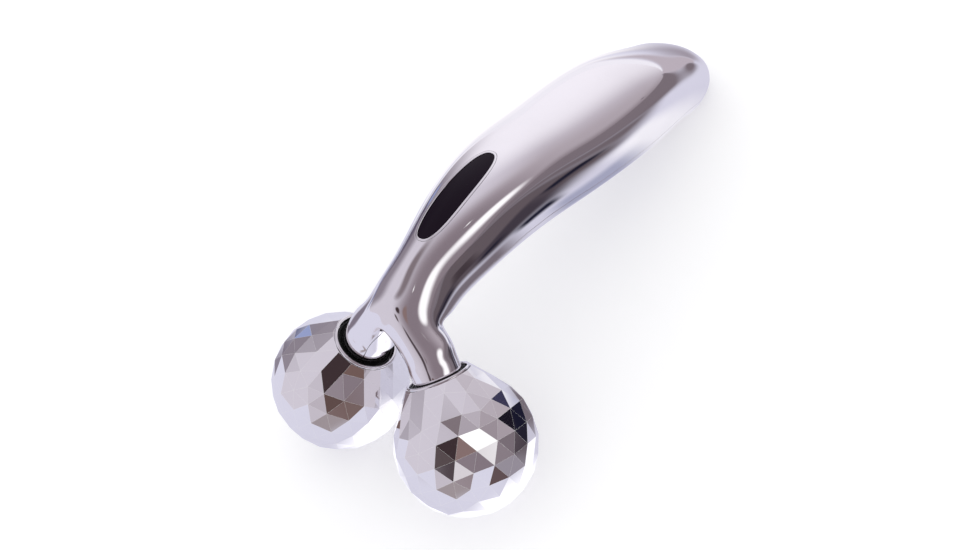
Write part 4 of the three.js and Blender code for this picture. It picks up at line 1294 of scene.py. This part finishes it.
@dataclass
class Ball:
    """One faceted ball with its collar and dust seal."""

    side: Side
    facets: FacetTree
    place: Matrix
    fork: Fork = field(default_factory=Fork)
    wall: float = 1.6
    cone_half_angle: float = math.radians(38)
    stretch_share: float = 1.44
    frequency: int = 4
    facet_turn: float = math.radians(1.6)
    lean_side: float = math.radians(-2.3)
    lean_front: float = math.radians(6)
    edge_round: float = 0.014
    weld: float = 0.001
    flat_angle: float = math.radians(0.3)
    ridge_angle: float = math.radians(2)
    outer_share: float = 0.6
    mouth_radius: float = 8.4
    collar_lip: float = 0.6
    collar_rise: float = 0.7
    collar_flare: float = 0.3
    collar_backset: float = 0.38
    collar_wall: float = 0.4
    collar_floor: float = 0.6
    collar_floor_depth: float = 3.0
    collar_floor_width: float = 2.4
    seal_thickness: float = 0.8
    seal_rim_height: float = 1.5
    seal_rim_width: float = 0.7
    seal_slope: float = 1.6
    nose_radius: float = 4.2
    seat_gap: float = 0.3
    sides: int = 128
    lip_steps: int = 10
    rim_steps: int = 8
    smooth_limit: float = 0.6

    @property
    def mouth_plane(self) -> float:
        """Height of the ball's cut mouth along its axle."""
        tangent = math.pi / 2 - self.cone_half_angle
        foot = self.fork.ball_radius * math.sin(tangent)
        top = self.mouth_radius + self.collar_lip + self.collar_flare + self.collar_backset
        return self.fork.ball_radius * math.cos(tangent) + (foot - top) / math.tan(self.cone_half_angle)

    @property
    def collar_top(self) -> float:
        """Height of the collar's lip."""
        return self.mouth_plane + self.collar_rise

    @property
    def collar_base(self) -> float:
        """Height of the underside of the collar's floor."""
        return self.collar_top - self.collar_floor_depth

    @property
    def put(self) -> Matrix:
        """What takes the ball's own millimetres to the frame."""
        return self.place @ self.fork.frame(self.side)

    def build(self) -> dict[str, bpy.types.Object]:
        """Builds the ball's visible pieces.

        Returns:
            The piece that stands for each node.
        """
        return {
            f"ball_shell_{self.side.label}": self.shell(),
            f"ball_collar_{self.side.label}": self.collar(),
            f"dust_seal_{self.side.label}": self.seal(),
        }

    def shell(self) -> bpy.types.Object:
        """The faceted shell with its edges rounded.

        Returns:
            The shell's object.
        """
        host = added("facet_host", self.facet_grid())
        rule = host.modifiers.new("facets", "NODES")
        rule.node_group = self.facets.tree
        lean = Matrix.Rotation(self.lean_front, 3, "X") @ Matrix.Rotation(self.lean_side, 3, "Y")
        turn = lean @ Matrix.Rotation(self.facet_turn, 3, "Z")
        values = {
            "Radius": self.fork.ball_radius,
            "Wall": self.wall,
            "Cone Half Angle": self.cone_half_angle,
            "Stretch": self.stretch_share,
            "Mouth Height": self.mouth_plane,
            "Mouth Radius": self.mouth_radius + self.collar_wall + self.seat_gap / 3,
            "Cup Depth": self.mouth_plane - self.collar_base + self.seat_gap,
            "Turn": tuple(turn.to_euler("XYZ")),
            "Finish": Palette.BALL.value.material(),
        }
        for item in self.facets.tree.interface.items_tree:
            if item.in_out == "INPUT" and item.name in values:
                rule[item.identifier] = values[item.name]
        graph = bpy.context.evaluated_depsgraph_get()
        data = bpy.data.meshes.new_from_object(host.evaluated_get(graph))
        bpy.data.objects.remove(host)
        data.name = f"ball_{self.side.label}_facets"
        self.round_edges(data)
        data.transform(self.put)
        return added(data.name, data)

    def facet_grid(self) -> bpy.types.Mesh:
        """An icosahedron whose flat faces are each cut into a grid of triangles."""
        work = bmesh.new()
        bmesh.ops.create_icosphere(work, subdivisions=1, radius=1.0)
        bmesh.ops.subdivide_edges(work, edges=work.edges, cuts=self.frequency - 1, use_grid_fill=True)
        data = bpy.data.meshes.new("facet_grid")
        work.to_mesh(data)
        work.free()
        return data

    def round_edges(self, data: bpy.types.Mesh) -> None:
        """Joins coplanar faces and rounds the outer facets' edges.

        Args:
            data: The mesh, which is changed.
        """
        work = bmesh.new()
        work.from_mesh(data)
        bmesh.ops.remove_doubles(work, verts=work.verts, dist=self.weld)
        bmesh.ops.dissolve_limit(work, angle_limit=self.flat_angle, verts=work.verts, edges=work.edges)
        least = self.outer_share * self.fork.ball_radius
        outer = []
        for edge in work.edges:
            if len(edge.link_faces) != 2:
                continue
            facing = all(f.normal.dot(f.calc_center_median()) > least for f in edge.link_faces)
            if facing and edge.calc_face_angle(0.0) > self.ridge_angle:
                outer.append(edge)
        settings = {"segments": 2, "profile": 0.5, "affect": "EDGES", "clamp_overlap": True}
        bmesh.ops.bevel(work, geom=outer, offset=self.edge_round, **settings)
        work.to_mesh(data)
        work.free()
        data.polygons.foreach_set("use_smooth", [False] * len(data.polygons))

    def turned(self, name: str, outline: list[tuple[float, float]], finish: Palette) -> bpy.types.Object:
        """A body turned about the axle from a closed outline.

        Args:
            name: The object's name.
            outline: Radius and height pairs, counterclockwise with radius to the right.
            finish: Its finish.

        Returns:
            The object.
        """
        made = Builder()
        corners = np.array(outline)
        along = unit(np.roll(corners, -1, axis=0) - corners)
        facing = np.stack([along[:, 1], -along[:, 0]], axis=1)
        turns = np.arange(self.sides) * 2 * math.pi / self.sides
        circle = np.stack([np.cos(turns), np.sin(turns)], axis=1)

        def spun(flat: np.ndarray) -> np.ndarray:
            """A point or normal of the outline, turned all the way about the axle."""
            return np.column_stack([circle * flat[0], np.full(self.sides, flat[1])])

        rings = [[made.point(p) for p in spun(corner)] for corner in corners]
        for k, here in enumerate(facing):
            after = (k + 1) % len(facing)
            start, end = (
                unit(near + here) if near.dot(here) > self.smooth_limit else here
                for near in (facing[k - 1], facing[after])
            )
            made.join(rings[k], rings[after], spun(start), spun(end))
        return made.mesh(name, finish, self.put)

    def half_round(self, across: float, up: float, radius: float, steps: int) -> list[tuple[float, float]]:
        """Points round the upper half of a circle in the outline's plane."""
        turns = np.linspace(0, math.pi, steps + 1)
        return [(across + radius * math.cos(t), up + radius * math.sin(t)) for t in turns]

    def collar(self) -> bpy.types.Object:
        """The bright collar in the ball's mouth, with a rolled lip."""
        top, base = self.collar_top, self.collar_base
        inner, cup = self.mouth_radius, self.mouth_radius + self.collar_wall
        lip = inner + self.collar_lip + self.collar_flare
        half = (lip - inner) / 2
        foot = self.mouth_plane + self.seat_gap / 3
        outline = [
            (inner - self.collar_floor_width, base),
            (cup, base),
            (cup, foot),
            (lip, foot),
            *self.half_round(inner + half, top - half, half, self.lip_steps),
            (inner, base + self.collar_floor),
            (inner - self.collar_floor_width, base + self.collar_floor),
        ]
        return self.turned(f"collar_{self.side.label}_lip", outline, Palette.TRIM)

    def seal(self) -> bpy.types.Object:
        """The black seal on the collar's floor."""
        low = self.collar_base + self.collar_floor + self.seat_gap / 3
        inner, outer = self.nose_radius + self.seat_gap, self.mouth_radius - self.seat_gap / 3
        rim, width = low + self.seal_rim_height, self.seal_rim_width
        outline = [
            (inner, low),
            (outer, low),
            *self.half_round(outer - width / 2, rim - width / 2, width / 2, self.rim_steps),
            (outer - self.seal_slope * width, low + self.seal_thickness),
            (inner, low + self.seal_thickness),
        ]
        return self.turned(f"seal_{self.side.label}_rubber", outline, Palette.RUBBER)


@dataclass(frozen=True)
class Patch:
    """An oval patch of light or shade in the room, which only mirrors show; angles in degrees."""

    name: str
    heading: float
    height: float
    wide: float
    tall: float
    edge: float
    colour: tuple[float, float, float]
    roll: float = 0.0

    def mask(self, graph: Graph, way: Expression) -> Expression:
        """How much of the patch lies in a direction.

        Args:
            graph: The world's tree.
            way: The direction.

        Returns:
            One inside the patch, nought outside it.
        """
        turn, lift, roll = (math.radians(v) for v in (self.heading, self.height, self.roll))
        middle = Vector((math.sin(turn) * math.cos(lift), math.cos(turn) * math.cos(lift), math.sin(lift)))
        level = Vector((math.cos(turn), -math.sin(turn), 0))
        right = Matrix.Rotation(roll, 3, middle) @ level
        up = right.cross(middle)
        swing = graph.math("ARCTAN2", graph.dot(way, right), graph.dot(way, middle))
        across = swing / math.radians(self.wide)
        along = graph.math("ARCSINE", graph.dot(way, up)) / math.radians(self.tall)
        away = graph.math("SQRT", across * across + along * along)
        return 1.0 - away.smooth_step(1 - self.edge, 1 + self.edge)


@dataclass(frozen=True)
class FloorPatch:
    """A soft oblong of light or shade on the floor, which only mirrors show; metres from the middle."""

    name: str
    left: float
    right: float
    front: float
    back: float
    fade: float
    colour: tuple[float, float, float]

    def mask(self, x: Expression, y: Expression) -> Expression:
        """How much of the patch lies at a place on the floor.

        Args:
            x: The place along X.
            y: The place along Y.

        Returns:
            One inside the patch, nought outside it.
        """
        inside: Any = 1.0
        for spot, low, high in ((x, self.left, self.right), (y, self.front, self.back)):
            inside = inside * spot.smooth_step(low - self.fade, low + self.fade)
            inside = inside * (1.0 - spot.smooth_step(high - self.fade, high + self.fade))
        return inside


# Painted reflection of a room: patches of painted light and shade that only glossy and transmission rays
# see, so they light nothing else. The lamps among them are painted highlights.
PAINTED_ROOM_REFLECTIONS = (
    Patch("left window", -31, 6, 25, 40, 0.6, (0.96, 0.93, 1.0)),
    Patch("mauve wall", 84, 6, 88, 64, 0.4, (0.45, 0.395, 0.44)),
    Patch("dim wall", 104, 30, 42, 46, 0.7, (0.24, 0.195, 0.225)),
    Patch("low dim", 58, -9, 44, 13, 0.6, (0.23, 0.19, 0.215)),
    Patch("left shade", -84, 10, 25, 30, 0.5, (0.27, 0.235, 0.28)),
    Patch("left foot", -76, 5, 8, 9, 0.5, (0.13, 0.11, 0.16)),
    Patch("ceiling shade", -150, 84, 11, 11, 0.5, (0.22, 0.18, 0.20)),
    Patch("blue card", -70, 7, 3, 3, 0.4, (0.32, 0.37, 0.62)),
    Patch("brown stand", 131, 7, 13, 17, 0.3, (0.17, 0.105, 0.095)),
    Patch("dark leg", 150, 23.5, 4, 4, 0.2, (0.12, 0.075, 0.07)),
    Patch("dark foot", 163, 23, 4.5, 12, 0.3, (0.08, 0.06, 0.07)),
    Patch("dark post", 178, 38, 4, 5, 0.3, (0.10, 0.075, 0.08)),
    Patch("dark arm", 163, 55, 6, 5, 0.3, (0.05, 0.032, 0.036)),
    Patch("warm card", 128, 50, 7, 6, 0.35, (0.25, 0.17, 0.165)),
    Patch("black card", 31.55, 4.1, 0.7, 0.6, 0.2, (0.01, 0.008, 0.016)),
    Patch("navy card", 3.0, -0.15, 0.6, 0.5, 0.2, (0.045, 0.042, 0.09)),
    Patch("lamp strip", 78, 14.5, 15, 7.5, 0.5, (1.12, 1.1, 1.12), -14),
    Patch("high lamp", 95.4, 55.6, 1.3, 1.3, 0.25, (1.2, 1.2, 1.2)),
    Patch("middle lamp", 80.2, 36.9, 1.2, 1.2, 0.25, (1.1, 1.1, 1.1)),
    Patch("small lamp", 146.2, 16.6, 1.6, 1.6, 0.3, (0.72, 0.68, 0.72)),
)
# Painted reflection of the floor: patches of painted light and shade that only mirrors see, while the camera
# sees the floor white.
PAINTED_FLOOR_REFLECTIONS = (
    # Painted light on the left.
    FloorPatch("left glow", -0.26, -0.035, 0.022, 0.125, 0.015, (1.04, 1.02, 1.06)),
    FloorPatch("left back glow", -0.30, -0.085, 0.10, 0.23, 0.03, (0.96, 0.94, 1.0)),
    FloorPatch("far left shade", -5.0, -0.50, -0.20, 0.30, 0.05, (0.22, 0.22, 0.36)),
    FloorPatch("far glow", -5.0, -0.15, 0.22, 5.0, 0.04, (0.93, 0.91, 0.98)),
    FloorPatch("left dim", -0.045, 0.005, 0.112, 0.20, 0.025, (0.37, 0.33, 0.39)),
    FloorPatch("back shade", -0.13, 0.045, 0.20, 5.0, 0.035, (0.52, 0.46, 0.52)),
    FloorPatch("right back", 0.03, 5.0, 0.108, 5.0, 0.012, (0.20, 0.165, 0.19)),
    FloorPatch("right slope", 0.062, 5.0, 0.060, 0.114, 0.022, (0.165, 0.135, 0.155)),
    FloorPatch("right shade", 0.058, 5.0, -0.055, 0.068, 0.014, (0.125, 0.10, 0.115)),
    FloorPatch("far front shade", 0.50, 5.0, -5.0, -0.05, 0.06, (0.19, 0.13, 0.125)),
    FloorPatch("right front", 0.066, 0.20, -0.075, -0.045, 0.008, (0.32, 0.29, 0.34)),
    FloorPatch("brown patch", 0.10, 0.13, -0.10, -0.078, 0.006, (0.125, 0.085, 0.09)),
    # Painted shade, the darkest part of the right side.
    FloorPatch("dark shade", 0.095, 0.20, -0.042, -0.018, 0.01, (0.05, 0.036, 0.044)),
    # Painted shade next to and between the parts, down to the black corner.
    FloorPatch("near grey", 0.012, 0.044, -0.038, -0.004, 0.008, (0.20, 0.17, 0.20)),
    FloorPatch("blue shade", 0.008, 0.034, 0.012, 0.056, 0.006, (0.42, 0.43, 0.58)),
    FloorPatch("dark gap", 0.050, 0.105, -0.020, 0.030, 0.014, (0.055, 0.044, 0.06)),
    FloorPatch("black gap", 0.066, 0.080, -0.017, -0.002, 0.005, (0.018, 0.016, 0.03)),
    FloorPatch("black slot", 0.0395, 0.0505, 0.001, 0.019, 0.004, (0.012, 0.012, 0.03)),
    FloorPatch("black corner", 0.078, 0.093, 0.032, 0.064, 0.006, (0.01, 0.01, 0.025)),
    # Painted highlight beside the handle.
    FloorPatch("white rim", -0.02, 0.052, 0.046, 0.074, 0.010, (1.0, 0.99, 1.05)),
    FloorPatch("front shade", -0.02, 0.11, -0.22, -0.165, 0.015, (0.36, 0.31, 0.33)),
    FloorPatch("left front", -0.30, -0.125, -0.12, -0.035, 0.015, (0.22, 0.19, 0.24)),
    # Painted contact shade.
    FloorPatch("left contact", -0.135, -0.10, -0.086, -0.06, 0.008, (0.27, 0.24, 0.30)),
    FloorPatch("blue strip", -0.42, -0.27, 0.002, 0.045, 0.02, (0.10, 0.11, 0.22)),
    # Painted light under and beside the balls, brighter than white.
    FloorPatch("ball glow", -0.018, 0.058, -0.088, -0.054, 0.005, (1.3, 1.3, 1.36)),
    FloorPatch("right glow", 0.044, 0.064, -0.056, -0.037, 0.004, (1.2, 1.2, 1.25)),
)


@dataclass
class Studio:
    """The camera, the white floor, and a painted reflection of a room, with painted highlights and shade,
    that only mirrors show.
    """

    lens: float = 58.96
    sensor: float = 36.0
    eye: tuple[float, float, float] = (0.24964, -0.17320, 0.38061)
    right: tuple[float, float, float] = (0.772, 0.56, -0.3)
    back: tuple[float, float, float] = (0.542, -0.334, 0.771)
    nearest: float = 0.01
    farthest: float = 20.0
    floor_size: float = 6.0
    # Base tone of the painted room reflection, which only mirrors see.
    painted_room_reflection: tuple[float, float, float] = (0.66, 0.62, 0.70)
    # Base tone of the painted floor reflection, which only mirrors see; the camera sees the floor white.
    painted_floor_reflection: tuple[float, float, float] = (0.72, 0.71, 0.84)
    white: tuple[float, float, float] = (0.92, 0.92, 0.93)
    seen_glow: float = 0.2
    mirrored_shade: float = 0.35

    def build(self) -> None:
        """Builds the camera, the floor and the world."""
        self.camera()
        self.floor()
        self.world()

    def camera(self) -> None:
        """Places the camera where the photograph was taken from."""
        back = Vector(self.back).normalized()
        right = Vector(self.right)
        right = (right - back * right.dot(back)).normalized()
        up = back.cross(right)
        data = bpy.data.cameras.new("camera")
        data.lens, data.sensor_width = self.lens, self.sensor
        data.clip_start, data.clip_end = self.nearest, self.farthest
        made = added("camera", data)
        made.matrix_world = Matrix((right, up, back)).transposed().to_4x4()
        made.location = self.eye
        bpy.context.scene.camera = made

    def floor(self) -> None:
        """Lays the floor that the object stands on: plain white to the camera and to diffuse light, and a
        painted reflection with painted light and shade to mirrors.
        """
        half = self.floor_size / 2
        data = bpy.data.meshes.new("floor")
        corners = [(-half, -half, 0), (half, -half, 0), (half, half, 0), (-half, half, 0)]
        data.from_pydata(corners, [], [(0, 1, 2, 3)])
        paint = bpy.data.materials.new("floor_white_painted_reflections")
        paint.use_nodes = True
        graph = Graph(paint.node_tree)
        x, y, _ = graph.split(graph.place())
        # The painted floor reflection, patch over patch.
        mirrored: Any = rgb(*self.painted_floor_reflection)
        for patch in PAINTED_FLOOR_REFLECTIONS:
            mirrored = graph.blend(patch.mask(x, y), mirrored, rgb(*patch.colour))
        matt = graph.add("ShaderNodeBsdfDiffuse", None, {"Color": rgb(*self.white)})
        glow = graph.add("ShaderNodeEmission", None, {"Color": rgb(*self.white), "Strength": self.seen_glow})
        plain = graph.add("ShaderNodeAddShader", None, {0: matt, 1: glow})
        # To mirrors the floor partly glows with the painted reflection, though it is no lamp, and partly
        # takes diffuse shading.
        shade = graph.add("ShaderNodeBsdfDiffuse", None, {"Color": mirrored})
        light = graph.add("ShaderNodeEmission", None, {"Color": mirrored, "Strength": 1.0})
        shown = graph.add("ShaderNodeMixShader", None, {0: self.mirrored_shade, 1: light, 2: shade})
        seen = graph.add("ShaderNodeMixShader", None, {0: graph.mirrored(), 1: plain, 2: shown})
        graph.add("ShaderNodeOutputMaterial", None, {"Surface": seen})
        data.materials.append(paint)
        added("floor", data)

    def world(self) -> None:
        """Makes the even studio light, and the painted reflection of a room, with painted highlights and
        shade, that only mirrors see.
        """
        world = bpy.data.worlds.new("studio")
        bpy.context.scene.world = world
        world.use_nodes = True
        graph = Graph(world.node_tree)
        way = graph.add("ShaderNodeTexCoord", output="Generated")
        # The painted room reflection, patch over patch.
        colour: Any = rgb(*self.painted_room_reflection)
        for patch in PAINTED_ROOM_REFLECTIONS:
            colour = graph.blend(patch.mask(graph, way), colour, rgb(*patch.colour))
        plain = graph.add("ShaderNodeBackground", None, {"Color": rgb(1, 1, 1), "Strength": 1.0})
        shown = graph.add("ShaderNodeBackground", None, {"Color": colour, "Strength": 1.0})
        seen = graph.add("ShaderNodeMixShader", None, {0: graph.mirrored(), 1: plain, 2: shown})
        graph.add("ShaderNodeOutputWorld", None, {"Surface": seen})


def dress_nodes(frame: dict[str, Any], replaced: set[str]) -> None:
    """Gives each node that stays its finish.

    Args:
        frame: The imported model.
        replaced: The nodes that other pieces stand for.
    """
    for name, node in frame["nodes"].items():
        if name in replaced:
            continue
        kind = max((k for k in NODE_FINISH if name.startswith(k)), key=len)
        node.data.materials.clear()
        node.data.materials.append(NODE_FINISH[kind].value.material())
        LOG.info("%s is dressed in %s", name, NODE_FINISH[kind].value.name)


def main() -> None:
    """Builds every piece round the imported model."""
    logging.basicConfig(level=logging.INFO, format="%(name)s: %(message)s")
    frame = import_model()
    spot = next(joint["pos_m"] for joint in frame["joints"] if joint["child"] == "ball_right")
    shift = Vector(spot) - Vector(Fork().centre(Side.RIGHT)) * MM
    place = Matrix.Translation(shift) @ Matrix.Scale(MM, 4)
    Studio().build()
    built = {"handle": Handle(place).build()}
    facets = FacetTree()
    for side in Side:
        built[f"ball_{side.label}"] = Ball(side, facets, place).build()
    for body, pieces in built.items():
        for node, piece in pieces.items():
            hang(piece, body, node)
    dress_nodes(frame, {node for pieces in built.values() for node in pieces})


if __name__ == "__main__":
    bpy.context.scene.view_settings.view_transform = "Standard"
    main()
